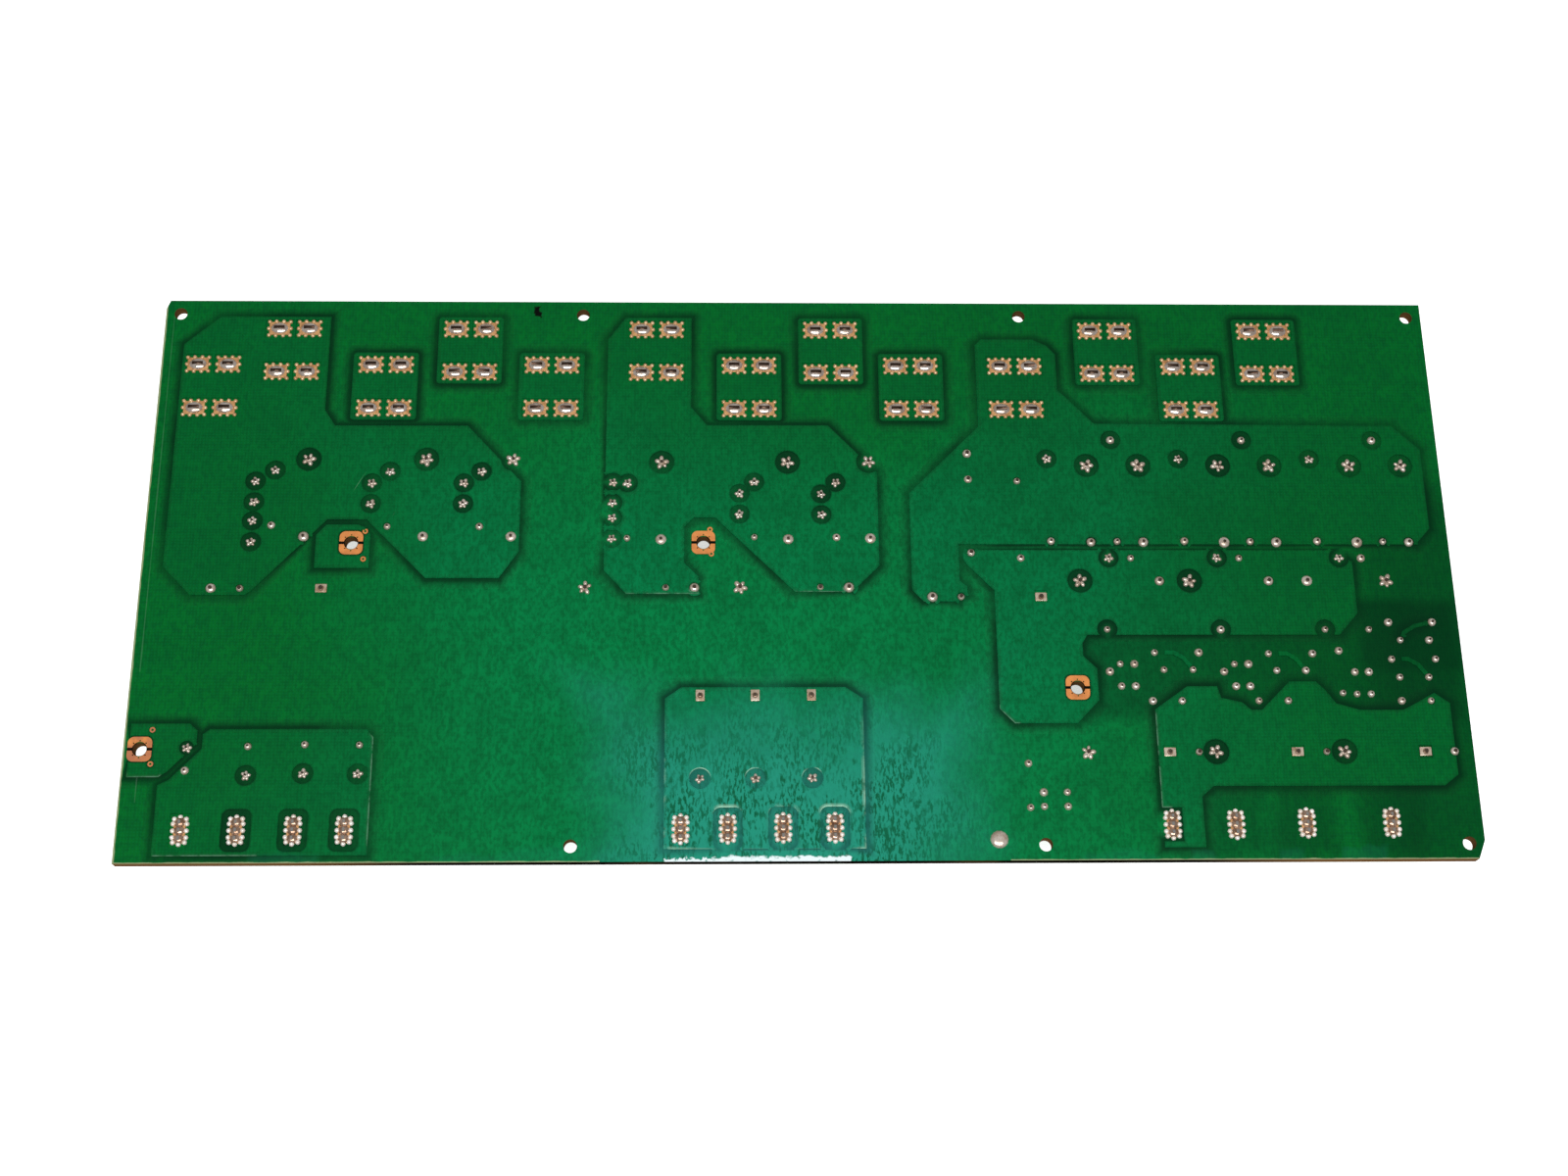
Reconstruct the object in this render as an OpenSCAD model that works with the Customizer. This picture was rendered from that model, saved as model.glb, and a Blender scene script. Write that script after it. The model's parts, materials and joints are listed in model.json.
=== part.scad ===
// Filter board of a three-phase mains input, lying solder side up on its tallest parts.
// X runs along the board, Y from its front edge to its rear edge, and Z up from the surface it lies on.

/* [Board] */
// Width of the board, along X
board_w = 430; // [420:1:460]
// Depth of the board, along Y
board_d = 195; // [192:1:215]
// Thickness of the laminate
board_t = 4; // [2.4:0.1:5]
// Height of the masked copper above the laminate
copper_t = 0.3; // [0.1:0.05:0.5]
// Diameter of the fixing holes and the earth screw holes
fixing_d = 4.3; // [3.2:0.1:5]
// Distance of the fixing holes from the edges of the board
fixing_inset = 5; // [4:0.1:7]
// Depth of the cut at the front right corner, along Y
corner_cut = 6; // [2:0.5:8]
// Clearance between a lead and the wall of its hole
hole_gap = 0.2; // [0.1:0.05:0.3]

/* [Earth lands] */
// Width of a bare copper land round an earth screw hole
land_w = 7.7; // [7:0.1:9]
// Depth of such a land
land_d = 8.1; // [7:0.1:9]
// Width of the split between the two halves of a land
land_split = 1; // [0.5:0.1:1.5]

/* [Screw terminals] */
// Distance between the legs of a screw terminal, along X
terminal_pitch_x = 10.1; // [9.8:0.1:11]
// Distance between the legs of a screw terminal, along Y
terminal_pitch_y = 16.1; // [15:0.1:17]
// Thickness of the terminal's base plate
terminal_t = 1.5; // [1:0.1:2]
// Diameter of the terminal's threaded bush
bush_d = 9; // [8:0.1:11]
// Length of the threaded bush below the base plate
bush_h = 8; // [5:0.5:14]
// Diameter of the tapped hole in the bush
tapped_d = 4.2; // [3.3:0.1:5]
// Width of a leg, along X
leg_w = 3.6; // [3:0.1:4]
// Thickness of a leg, along Y
leg_t = 1; // [0.8:0.1:1.2]

/* [Tab terminals] */
// Width of the tab, along Y
tab_w = 6.3; // [6:0.1:8]
// Thickness of the tab, along X
tab_t = 0.8; // [0.6:0.1:1]
// Length of the tab below the board
tab_h = 14; // [10:0.5:20]
// Distance between the three legs of a tab
tab_pitch = 2.6; // [2.4:0.1:2.8]
// Width of a tab's leg, along Y
tab_leg_w = 1.2; // [0.9:0.1:1.4]

/* [Film capacitors] */
// Length of a film capacitor's case, along Y
capacitor_l = 31.5; // [27:0.1:34]
// Length of the case beyond its two leads
capacitor_end = 2; // [1.5:0.1:3]
// Width of a wide capacitor's case
wide_w = 13; // [10:0.5:14]
// Height of the wide capacitors and the varistor blocks, on which the board lies
tall_h = 28; // [24:0.5:36]
// Width of a slim capacitor's case
slim_w = 9; // [7:0.5:10]
// Height of a slim capacitor's case
slim_h = 21; // [16:0.5:23]

/* [Varistor blocks] */
// Thickness of a varistor block
varistor_t = 11; // [8:0.5:11.5]
// Length of the block beyond its outermost leads
varistor_end = 2; // [1.5:0.1:2.5]

/* [Disc parts] */
// Distance between the leads of a disc capacitor
disc_pitch = 7.4; // [6.5:0.1:8]
// Diameter of a disc capacitor
disc_d = 9; // [8.5:0.1:10]
// Thickness of a disc capacitor
disc_t = 3.6; // [3:0.1:4]
// Distance between the leads of a disc varistor
round_pitch = 9.5; // [9:0.1:10]
// Diameter of a disc varistor
round_d = 12.5; // [11:0.5:14]
// Thickness of a disc varistor
round_t = 4.2; // [3:0.1:4.5]

/* [Resistors] */
// Distance between the leads of a bleed resistor
bleed_pitch = 19.6; // [18:0.1:21]
// Length of a bleed resistor's body
bleed_l = 13; // [10:0.5:14]
// Distance between the leads of a long resistor
long_pitch = 36.6; // [35:0.1:38]
// Length of a long resistor's body
long_l = 25; // [20:0.5:27]
// Diameter of a bleed or long resistor
power_d = 4.2; // [3.5:0.1:4.6]
// Distance between the leads of a signal resistor
signal_pitch = 14.4; // [13:0.1:15.5]
// Length of a signal resistor's body
signal_l = 9; // [6:0.5:9.5]
// Diameter of a signal resistor
signal_d = 3.2; // [2.4:0.1:3.4]
// Distance between the leads of a cement resistor
cement_pitch = 29.5; // [28:0.1:31]
// Length of a cement resistor's body
cement_l = 22; // [18:0.5:23]
// Width and height of a cement resistor's body
cement_w = 8; // [7:0.5:9]

/* [Optical isolators] */
// Distance between neighbouring leads of an isolator
isolator_pitch = 4.6; // [4:0.1:5.1]
// Distance between the two rows of leads
isolator_row = 7.5; // [7:0.1:8]
// Length of the isolator's body
isolator_l = 6.8; // [6:0.1:7.2]
// Height of the isolator's body
isolator_h = 3.5; // [3:0.1:4.5]

/* [Solder] */
// Diameter of a full round joint
joint_d = 3; // [2.6:0.1:3.2]
// Diameter of a small round joint
small_joint_d = 2.2; // [1.9:0.1:2.5]
// Height of a wire joint above the laminate
joint_h = 1.1; // [0.8:0.1:1.4]
// Width of a screw terminal's solder pad, along X
pad_w = 8.9; // [8:0.1:9.5]
// Depth of a screw terminal's solder pad, along Y
pad_d = 6.7; // [6:0.1:7.5]
// Width of a tab's solder pad, along X
tab_pad_w = 6; // [5:0.1:6.5]
// Depth of a tab's solder pad, along Y
tab_pad_d = 10.4; // [9.5:0.1:11.5]

/* [Hidden] */
$fn = 48;
// One overrun for all cuts
over = 1;
// Gap between the slim capacitors and the row of discs in front of them
disc_gap = 1.85;
// Gap between the row of discs and the varistor blocks in front of them
block_gap = 0.7;
// Gap between a copper pour and the joint or pad that it surrounds
pour_gap = 0.25;
// Gap between a lead and the solder round it
solder_gap = 0.05;
// How far the leads stand out above the laminate
lead_tip = 1.5;
// How far a lead is sunk in the body that carries it
lead_root = 1;
// Diameters of the leads
capacitor_lead_d = 1;
varistor_lead_d = 1.2;
disc_lead_d = 0.7;
resistor_lead_d = 0.8;
isolator_lead_d = 0.6;
// Height of the feet that hold a capacitor's case off the board, and their width
foot_h = 0.6;
foot_w = 2.4;
// Rounding of the corners of cases, plates and lands
case_r = 1;
plate_r = 1.2;
land_r = 2;
// Space between the board and the rim of a disc, and between the board and a resistor
disc_stand = 1.5;
body_stand = 0.3;
// Margin of a screw terminal's base plate round its legs
plate_margin = 2;
// Widening of a tab under the board, its height, and the corner cut at the tab's end
shoulder_w = 0.9;
shoulder_h = 2;
tab_nose = 1.2;
// Thickness of the isolator's lead frame
frame_t = 0.4;
// Gap between the isolator's body and its rows of leads
isolator_gap = 0.5;
// Heights of a pad's solder sheet and of the mound round its legs
sheet_h = 0.45;
mound_h = 1;
// Margin of the mound round the legs
mound_margin = 1;
// Sizes of the star joints: distance of the small bumps from the lead, their diameter and height
star_r = 1.55;
big_star_r = 1.95;
bump_d = 0.95;
bump_h = 0.7;
bump_count = 5;
core_d = 2;
// Side and height of the square joints' lands
square_w = 3.8;
square_h = 0.5;
// Diameters of the bare rings round the joints that the pours keep clear of
ring_d = 6.6;
big_ring_d = 8.2;
// Clearance round a tab's pad in a pour
tab_clear = 1.6;
// Rounding of that clearance
tab_clear_r = 2.4;
// Half sizes of the copper island under a screw terminal
island_w = 22;
island_d = 25;
// Width of the curved tracks
track_w = 1.4;
// Sizes of the filled hole near the front edge
filled_d = 5;
filled_hole_d = 3;
// Sizes of the small plated holes in and beside the earth lands
via_d = 0.5;
via_ring_d = 1.8;
via_hole_d = 0.8;
land_via_r = 2.75;

// Places of the fixing holes along X, between the corner columns
fixing_column_shares = [0.329, 0.676];
// Places of the earth screw holes
earth_shares = [[0.157, 0.546], [0.425, 0.547], [0.706, 0.29], [0.0122, 0.188]];
// Rings beside the earth lands, each as the number of the land and shares of the land's sides
earth_ring_shares = [
    [0, 0.57, 0.5], [0, 0.55, -0.7], [1, 0.28, 0.56], [1, 0.34, -0.5], [3, 0.46, 0.78], [3, 0.5, -0.6],
];
// Place of the filled hole
filled_share = [0.642, 0.0345];
// Places of the screw terminals: thirteen columns, in a front row or a rear row
terminal_column_shares = [
    0.0405, 0.102, 0.1755, 0.241, 0.3055, 0.3875, 0.4605, 0.525, 0.588, 0.6705, 0.744, 0.8085, 0.8715,
];
terminal_rear = [0, 1, 0, 1, 0, 1, 0, 1, 0, 0, 1, 0, 1];
terminal_row_shares = [0.836, 0.905];
// Numbers of the terminals that stand on an island of their own
island_terminals = [2, 3, 4, 6, 7, 8, 10, 11, 12];
// Places of the tab terminals, and the numbers of those in a clearance of a pour
tab_shares = [
    [0.0465, 0.053], [0.087, 0.053], [0.128, 0.053], [0.165, 0.053],
    [0.409, 0.053], [0.4435, 0.0535], [0.484, 0.0545], [0.522, 0.0545],
    [0.77, 0.058], [0.817, 0.058], [0.8695, 0.06], [0.9325, 0.06],
];
ringed_tabs = [1, 2, 3, 5, 6, 7];
// Places of the wide capacitors: the first six lead a cell, the last three stand by the front tabs
wide_shares = [
    [0.1205, 0.628], [0.211, 0.628], [0.278, 0.628], [0.3925, 0.623], [0.49, 0.6235], [0.553, 0.625],
    [0.423, 0.207], [0.464, 0.207], [0.506, 0.2075],
];
cell_count = 6;
// Place of the slim capacitor that stands alone
lone_share = [0.668, 0.5895];
// Columns of the long resistors, each with a slim capacitor on both sides and a cement resistor to the left
long_column_shares = [0.743, 0.846, 0.949];
slim_step_share = 0.0202;
cement_step_share = 0.051;
// Rows of the long resistors, the slim capacitors and the cement resistors
long_row_share = 0.643;
slim_row_share = 0.6185;
cement_row_share = 0.6255;
// Bleed resistors, one to the left of each cell's wide capacitor
bleed_shares = [
    [0.0955, 0.628], [0.1835, 0.626], [0.2537, 0.626], [0.3665, 0.605], [0.464, 0.607], [0.527, 0.6065],
];
// Disc capacitors in the cells
cell_disc_shares = [
    [0.081, 0.639], [0.081, 0.5665], [0.17, 0.636], [0.2405, 0.636], [0.355, 0.638], [0.355, 0.573],
    [0.4527, 0.6175], [0.5157, 0.6165],
];
// Columns of the disc capacitors in the row in front of the slim capacitors
row_disc_shares = [0.744, 0.8275, 0.922];
// Disc capacitor near the front left corner
front_disc_share = [0.0465, 0.171];
// Disc varistors along Y, and along X in the control corner
front_round_shares = [[0.091, 0.168], [0.1325, 0.171], [0.1725, 0.17]];
control_round_shares = [
    [0.783, 0.321], [0.8685, 0.3195], [0.965, 0.3725], [0.9615, 0.3075],
    [0.773, 0.267], [0.853, 0.267], [0.961, 0.2665],
];
// Signal resistors along Y and along X
upright_signal_shares = [[0.731, 0.355], [0.8175, 0.3545], [0.906, 0.317], [0.666, 0.124]];
level_signal_shares = [[0.914, 0.3915], [0.7825, 0.351], [0.869, 0.349], [0.963, 0.404], [0.9625, 0.339]];
// Optical isolators, and the one that is turned a quarter
isolator_shares = [[0.7445, 0.312], [0.831, 0.3115], [0.922, 0.2975]];
turned_isolator_share = [0.685, 0.1005];
// Distance between the two main leads of a varistor block, and on to its guard lead
varistor_pitch_share = 0.061;
guard_pitch_share = 0.0218;
// Outer main leads of the varistor blocks, with the direction in which the other leads follow
guarded_shares = [
    [0.1365, 0.465], [0.3355, 0.466], [0.453, 0.4665], [0.682, 0.4495], [0.63, 0.5285],
    [0.711, 0.1795], [0.8065, 0.1795], [0.9025, 0.1795],
];
guarded_ways = [[-1, 0], [1, 0], [1, 0], [-1, 0], [0, 1], [1, 0], [1, 0], [1, 0]];
// The same of the blocks with two leads, which stand in front of the row of discs
plain_column_shares = [0.7125, 0.7965, 0.948];
plain_ways = [[1, 0], [1, 0], [-1, 0]];
// Outlines of the copper pours
pour_shares = [
    // Left rear pour
    [[0.0165, 0.503], [0.0165, 0.915], [0.044, 0.969], [0.1305, 0.969], [0.1305, 0.79], [0.139, 0.7615],
     [0.2417, 0.7615], [0.2845, 0.658], [0.2845, 0.53], [0.27, 0.4825], [0.2145, 0.4825], [0.172, 0.578],
     [0.168, 0.588], [0.138, 0.588], [0.0835, 0.4585], [0.079, 0.4525], [0.0385, 0.4525]],
    // Island of the left earth land
    [[0.13, 0.5005], [0.13, 0.56], [0.1375, 0.579], [0.1615, 0.579], [0.1685, 0.573], [0.1715, 0.56],
     [0.1715, 0.5005]],
    // Middle rear pour
    [[0.349, 0.497], [0.349, 0.926], [0.363, 0.969], [0.4152, 0.969], [0.4152, 0.797], [0.4275, 0.7635],
     [0.5218, 0.7635], [0.5595, 0.675], [0.5595, 0.505], [0.5386, 0.4585], [0.4945, 0.4585], [0.4417, 0.5745],
     [0.434, 0.592], [0.4175, 0.592], [0.4105, 0.575], [0.4105, 0.51], [0.4215, 0.485], [0.4215, 0.4547],
     [0.3665, 0.4547]],
    // Right rear pour
    [[0.5838, 0.4615], [0.5838, 0.637], [0.6397, 0.762], [0.6397, 0.918], [0.645, 0.929], [0.6855, 0.929],
     [0.697, 0.917], [0.7035, 0.9], [0.7035, 0.832], [0.731, 0.7675], [0.9657, 0.7645], [0.9865, 0.72],
     [0.9865, 0.573], [0.9745, 0.5435], [0.6205, 0.5435], [0.6205, 0.478], [0.626, 0.468], [0.626, 0.4525],
     [0.619, 0.4408], [0.5925, 0.4408]],
    // Right middle pour
    [[0.6465, 0.2535], [0.6465, 0.4605], [0.6262, 0.5075], [0.6235, 0.5165], [0.6235, 0.528], [0.627, 0.5335],
     [0.914, 0.5335], [0.9235, 0.5105], [0.9235, 0.42], [0.908, 0.3815], [0.7155, 0.3815], [0.7115, 0.367],
     [0.7115, 0.345], [0.7215, 0.323], [0.7215, 0.268], [0.7045, 0.2285], [0.6575, 0.2285]],
    // Right front pour
    [[0.763, 0.02], [0.763, 0.252], [0.7885, 0.292], [0.811, 0.292], [0.8135, 0.272], [0.829, 0.264],
     [0.8355, 0.251], [0.8435, 0.251], [0.8585, 0.284], [0.866, 0.3], [0.886, 0.3], [0.893, 0.284],
     [0.9, 0.262], [0.918, 0.2505], [0.95, 0.2505], [0.962, 0.264], [0.975, 0.28], [0.986, 0.262],
     [0.986, 0.14], [0.975, 0.1215], [0.8025, 0.1215], [0.7935, 0.104], [0.7935, 0.02]],
    // Centre front pour
    [[0.3967, 0.02], [0.3967, 0.272], [0.409, 0.2915], [0.5315, 0.2915], [0.5445, 0.272], [0.5445, 0.02]],
    // Island of the front earth land
    [[0.0045, 0.1412], [0.0045, 0.231], [0.0475, 0.231], [0.0535, 0.219], [0.0535, 0.196], [0.0335, 0.1495],
     [0.0275, 0.1412]],
    // Left front pour
    [[0.0275, 0.0115], [0.0275, 0.128], [0.0355, 0.137], [0.0575, 0.1885], [0.0575, 0.213], [0.0625, 0.2215],
     [0.177, 0.2215], [0.1825, 0.207], [0.1825, 0.0115]],
];
// Bends of the curved tracks in the control corner
track_shares = [
    [[0.7665, 0.351], [0.78, 0.351], [0.787, 0.342], [0.794, 0.321]],
    [[0.853, 0.349], [0.866, 0.349], [0.8725, 0.34], [0.8795, 0.3195]],
    [[0.9545, 0.3725], [0.9575, 0.386], [0.966, 0.397], [0.9795, 0.404]],
    [[0.946, 0.339], [0.958, 0.339], [0.9655, 0.329], [0.9725, 0.3075]],
];
// Cut at the front right corner and at the rear left corner, along X, as shares of the cut along Y
corner_lean_share = 0.4;
rear_corner_share = 0.5;
// Narrowing of a joint or bump towards its top
joint_top_share = 0.55;

// Kinds of joints
ROUND = 0;
SMALL = 1;
STAR = 2;
BIG_STAR = 3;
SQUARE = 4;
ALONG_X = [1, 0];
ALONG_Y = [0, 1];

// Levels of the board's two faces
under = tall_h;
top = under + board_t;

function place(share) = [share.x * board_w - board_w / 2, share.y * board_d - board_d / 2];
function across(way) = [way.y, way.x];

// Distances between leads that follow from the driving sizes
capacitor_pitch = capacitor_l - 2 * capacitor_end;
varistor_pitch = board_w * varistor_pitch_share;
guard_pitch = board_w * guard_pitch_share;

// Places of the bodies
wide_places = [for (share = wide_shares) place(share)];
bleed_places = [for (share = bleed_shares) place(share)];
cell_disc_places = [for (share = cell_disc_shares) place(share)];
long_places = [for (share = long_column_shares) place([share, long_row_share])];
slim_places = concat(
    [place(lone_share)],
    [for (share = long_column_shares, side = [-1, 1]) place([share + side * slim_step_share, slim_row_share])]
);
cement_places = [for (share = long_column_shares) place([share - cement_step_share, cement_row_share])];
row_disc_y = place([0, slim_row_share]).y - capacitor_l / 2 - disc_gap - disc_t / 2;
row_disc_places = [for (share = row_disc_shares) [place([share, 0]).x, row_disc_y]];
plain_y = row_disc_y - disc_t / 2 - block_gap - varistor_t / 2;
capacitors = concat(
    [for (spot = wide_places) [spot, wide_w, tall_h]],
    [for (spot = slim_places) [spot, slim_w, slim_h]]
);
varistors = concat(
    [for (i = [0 : len(guarded_shares) - 1]) [place(guarded_shares[i]), guarded_ways[i], true]],
    [for (i = [0 : len(plain_ways) - 1]) [[place([plain_column_shares[i], 0]).x, plain_y], plain_ways[i], false]]
);
terminal_places = [
    for (i = [0 : len(terminal_column_shares) - 1])
        place([terminal_column_shares[i], terminal_row_shares[terminal_rear[i]]])
];
tab_places = [for (share = tab_shares) place(share)];
earth_places = [for (share = earth_shares) place(share)];
fixing_columns = concat(
    [fixing_inset - board_w / 2],
    [for (share = fixing_column_shares) place([share, 0]).x],
    [board_w / 2 - fixing_inset]
);
// The front left corner has no fixing hole: an earth land stands in for it
fixing_places = concat(
    [for (x = fixing_columns) [x, board_d / 2 - fixing_inset]],
    [for (i = [1 : len(fixing_columns) - 1]) [fixing_columns[i], fixing_inset - board_d / 2]]
);

// A joint is its place, its lead's diameter, its kind, and whether a bare ring lies round it.
// The first of a pair lies on the low side of X or Y, the second on the high side.
function pair(spot, way, pitch, lead_d, kinds, rings) = [
    for (side = [0, 1]) [spot + way * (2 * side - 1) * pitch / 2, lead_d, kinds[side], rings[side]]
];
function each_pair(spots, way, pitch, lead_d, kinds, rings) = [
    for (spot = spots) each pair(spot, way, pitch, lead_d, kinds, rings)
];
function varistor_leads(varistor) = concat(
    [varistor[0], varistor[0] + varistor[1] * varistor_pitch],
    varistor[2] ? [varistor[0] + varistor[1] * (varistor_pitch + guard_pitch)] : []
);
function slice(list, first, last) = [for (i = [first : last]) list[i]];

varistor_kinds = [
    [SQUARE, SMALL, ROUND], [BIG_STAR, SMALL, ROUND], [BIG_STAR, SMALL, ROUND], [SQUARE, SMALL, ROUND],
    [SMALL, SMALL, ROUND], [BIG_STAR, SQUARE, SMALL], [BIG_STAR, SQUARE, SMALL], [BIG_STAR, SQUARE, SMALL],
    [BIG_STAR, ROUND], [BIG_STAR, ROUND], [BIG_STAR, ROUND],
];
ringed_varistors = [6, 7, 8, 9];
joints = concat(
    each_pair(slice(wide_places, 0, cell_count - 1), ALONG_Y, capacitor_pitch, capacitor_lead_d,
        [ROUND, BIG_STAR], [false, true]),
    each_pair(slice(wide_places, cell_count, len(wide_places) - 1), ALONG_Y, capacitor_pitch, capacitor_lead_d,
        [STAR, SQUARE], [true, false]),
    pair(slim_places[0], ALONG_Y, capacitor_pitch, capacitor_lead_d, [SMALL, SMALL], [false, false]),
    each_pair(slice(slim_places, 1, len(slim_places) - 1), ALONG_Y, capacitor_pitch, capacitor_lead_d,
        [ROUND, BIG_STAR], [false, true]),
    each_pair(bleed_places, ALONG_Y, bleed_pitch, resistor_lead_d, [SMALL, STAR], [false, true]),
    each_pair(cell_disc_places, ALONG_Y, disc_pitch, disc_lead_d, [STAR, STAR], [true, true]),
    each_pair(row_disc_places, ALONG_X, disc_pitch, disc_lead_d, [STAR, SMALL], [true, false]),
    pair(place(front_disc_share), ALONG_Y, disc_pitch, disc_lead_d, [SMALL, STAR], [false, false]),
    each_pair(long_places, ALONG_Y, long_pitch, resistor_lead_d, [SMALL, SMALL], [false, true]),
    each_pair(cement_places, ALONG_Y, cement_pitch, resistor_lead_d, [SMALL, STAR], [false, true]),
    each_pair([for (share = front_round_shares) place(share)], ALONG_Y, round_pitch, disc_lead_d,
        [STAR, SMALL], [true, false]),
    each_pair([for (share = control_round_shares) place(share)], ALONG_X, round_pitch, disc_lead_d,
        [SMALL, SMALL], [false, false]),
    each_pair([for (share = upright_signal_shares) place(share)], ALONG_Y, signal_pitch, resistor_lead_d,
        [SMALL, SMALL], [false, true]),
    each_pair([for (share = level_signal_shares) place(share)], ALONG_X, signal_pitch, resistor_lead_d,
        [SMALL, SMALL], [true, false]),
    [for (isolator = isolators(), lead = isolator_leads(isolator)) [lead, isolator_lead_d, SMALL, false]],
    [
        for (i = [0 : len(varistors) - 1])
            let (leads = varistor_leads(varistors[i]), ringed = len(search(i, ringed_varistors)) > 0)
            for (k = [0 : len(leads) - 1])
                [leads[k], varistor_lead_d, varistor_kinds[i][k], ringed && k == 0]
    ]
);
function isolators() = concat(
    [for (share = isolator_shares) [place(share), ALONG_X]],
    [[place(turned_isolator_share), ALONG_Y]]
);
function isolator_leads(isolator) = [
    for (side = [-1, 1], end = [-1, 1])
        isolator[0] + (isolator[1] * end * isolator_pitch + across(isolator[1]) * side * isolator_row) / 2
];
leg_places = [
    for (spot = terminal_places, side = [-1, 1], end = [-1, 1])
        spot + [side * terminal_pitch_x, end * terminal_pitch_y] / 2
];

module rounded(size, r) {
    square([size.x - 2 * r, size.y], center = true);
    square([size.x, size.y - 2 * r], center = true);
    for (x = [-1, 1], y = [-1, 1]) translate([x * (size.x / 2 - r), y * (size.y / 2 - r)]) circle(r = r);
}

module at(spot, z) {
    translate([spot.x, spot.y, z]) children();
}

// Lead that stands through the board
module lead(spot, d, from) {
    at(spot, from) cylinder(d = d, h = top + lead_tip - from);
}

module board_holes() {
    for (joint = joints) translate(joint[0]) circle(d = joint[1] + 2 * hole_gap);
    for (spot = concat(fixing_places, earth_places)) translate(spot) circle(d = fixing_d);
    for (spot = leg_places) translate(spot) square([leg_w, leg_t] + [2, 2] * hole_gap, center = true);
    for (spot = tab_places, i = [-1 : 1])
        translate(spot + [0, i * tab_pitch]) square([tab_t, tab_leg_w] + [2, 2] * hole_gap, center = true);
    translate(place(filled_share)) circle(d = filled_hole_d);
}

module board_outline() {
    lean = corner_cut * corner_lean_share;
    nip = corner_cut * rear_corner_share;
    polygon([
        [-board_w / 2, -board_d / 2],
        [board_w / 2 - lean, -board_d / 2],
        [board_w / 2, -board_d / 2 + corner_cut],
        [board_w / 2, board_d / 2],
        [-board_w / 2 + nip * corner_lean_share, board_d / 2],
        [-board_w / 2, board_d / 2 - nip],
    ]);
}

module circuit_board() {
    color("seagreen")
        translate([0, 0, under])
            linear_extrude(board_t)
                difference() {
                    board_outline();
                    board_holes();
                }
}

// Straight stretch of a track between two points
module track_run(from, to) {
    way = (to - from) / norm(to - from);
    edge = across(way);
    side = [edge.x, -edge.y] * track_w / 2;
    polygon([from + side, to + side, to - side, from - side]);
}

module joint_clearance(joint) {
    kind = joint[2];
    ringed = joint[3];
    big = kind == BIG_STAR;
    bare = kind == SMALL ? small_joint_d : kind == STAR ? 2 * star_r + bump_d : big ? 2 * big_star_r + bump_d : joint_d;
    translate(joint[0])
        if (kind == SQUARE) square(square_w + 2 * pour_gap, center = true);
        else circle(d = ringed ? (big ? big_ring_d : ring_d) : bare + 2 * pour_gap);
}

module pour_clearances() {
    for (joint = joints) joint_clearance(joint);
    for (spot = leg_places) translate(spot) square([pad_w, pad_d] + [2, 2] * pour_gap, center = true);
    for (spot = tab_places) translate(spot) square([tab_pad_w, tab_pad_d] + [2, 2] * pour_gap, center = true);
    for (i = ringed_tabs) translate(tab_places[i]) rounded([tab_pad_w, tab_pad_d] + [2, 2] * tab_clear, tab_clear_r);
    for (i = [0 : len(earth_places) - 1]) translate(earth_places[i]) land_outline(i, pour_gap);
    for (spot = fixing_places) translate(spot) circle(d = fixing_d + 2 * pour_gap);
}

module copper_layer() {
    color("green")
        translate([0, 0, top])
            linear_extrude(copper_t)
                difference() {
                    union() {
                        for (outline = pour_shares) polygon([for (share = outline) place(share)]);
                        for (i = island_terminals)
                            translate(terminal_places[i]) rounded([island_w, island_d], plate_r);
                        for (bends = track_shares)
                            for (i = [1 : len(bends) - 1]) {
                                track_run(place(bends[i - 1]), place(bends[i]));
                                translate(place(bends[i])) circle(d = track_w);
                            }
                    }
                    pour_clearances();
                }
}

// Land round an earth screw hole with its rings, grown by a margin
module land_outline(number, margin) {
    rounded([land_w, land_d] + [2, 2] * margin, land_r);
    for (ring = earth_ring_shares)
        if (ring[0] == number)
            translate([ring[1] * land_w, ring[2] * land_d]) circle(d = via_ring_d + 2 * margin);
}

module ground_lands() {
    color("peru")
        for (i = [0 : len(earth_places) - 1])
            at(earth_places[i], top)
                linear_extrude(copper_t)
                    difference() {
                        land_outline(i, 0);
                        circle(d = fixing_d + 2 * pour_gap);
                        square([land_w + 2 * over, land_split], center = true);
                        for (turn = [45, 90, 135, 225, 270, 315])
                            rotate(turn) translate([land_via_r, 0]) circle(d = via_d);
                        for (ring = earth_ring_shares)
                            if (ring[0] == i)
                                translate([ring[1] * land_w, ring[2] * land_d]) circle(d = via_hole_d);
                    }
}

// Flat base under the board with four legs through it and a threaded bush that points down
module rear_terminal(number) {
    spot = terminal_places[number];
    plate = [terminal_pitch_x + leg_w, terminal_pitch_y + leg_t] + [2, 2] * plate_margin;
    color("silver")
        difference() {
            union() {
                at(spot, under - terminal_t) linear_extrude(terminal_t) rounded(plate, plate_r);
                at(spot, under - terminal_t - bush_h) cylinder(d = bush_d, h = bush_h);
                for (side = [-1, 1], end = [-1, 1])
                    at(spot + [side * terminal_pitch_x, end * terminal_pitch_y] / 2, under)
                        linear_extrude(board_t + lead_tip) square([leg_w, leg_t], center = true);
            }
            at(spot, under - terminal_t - bush_h - over) cylinder(d = tapped_d, h = terminal_t + bush_h + over);
        }
}

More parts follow.
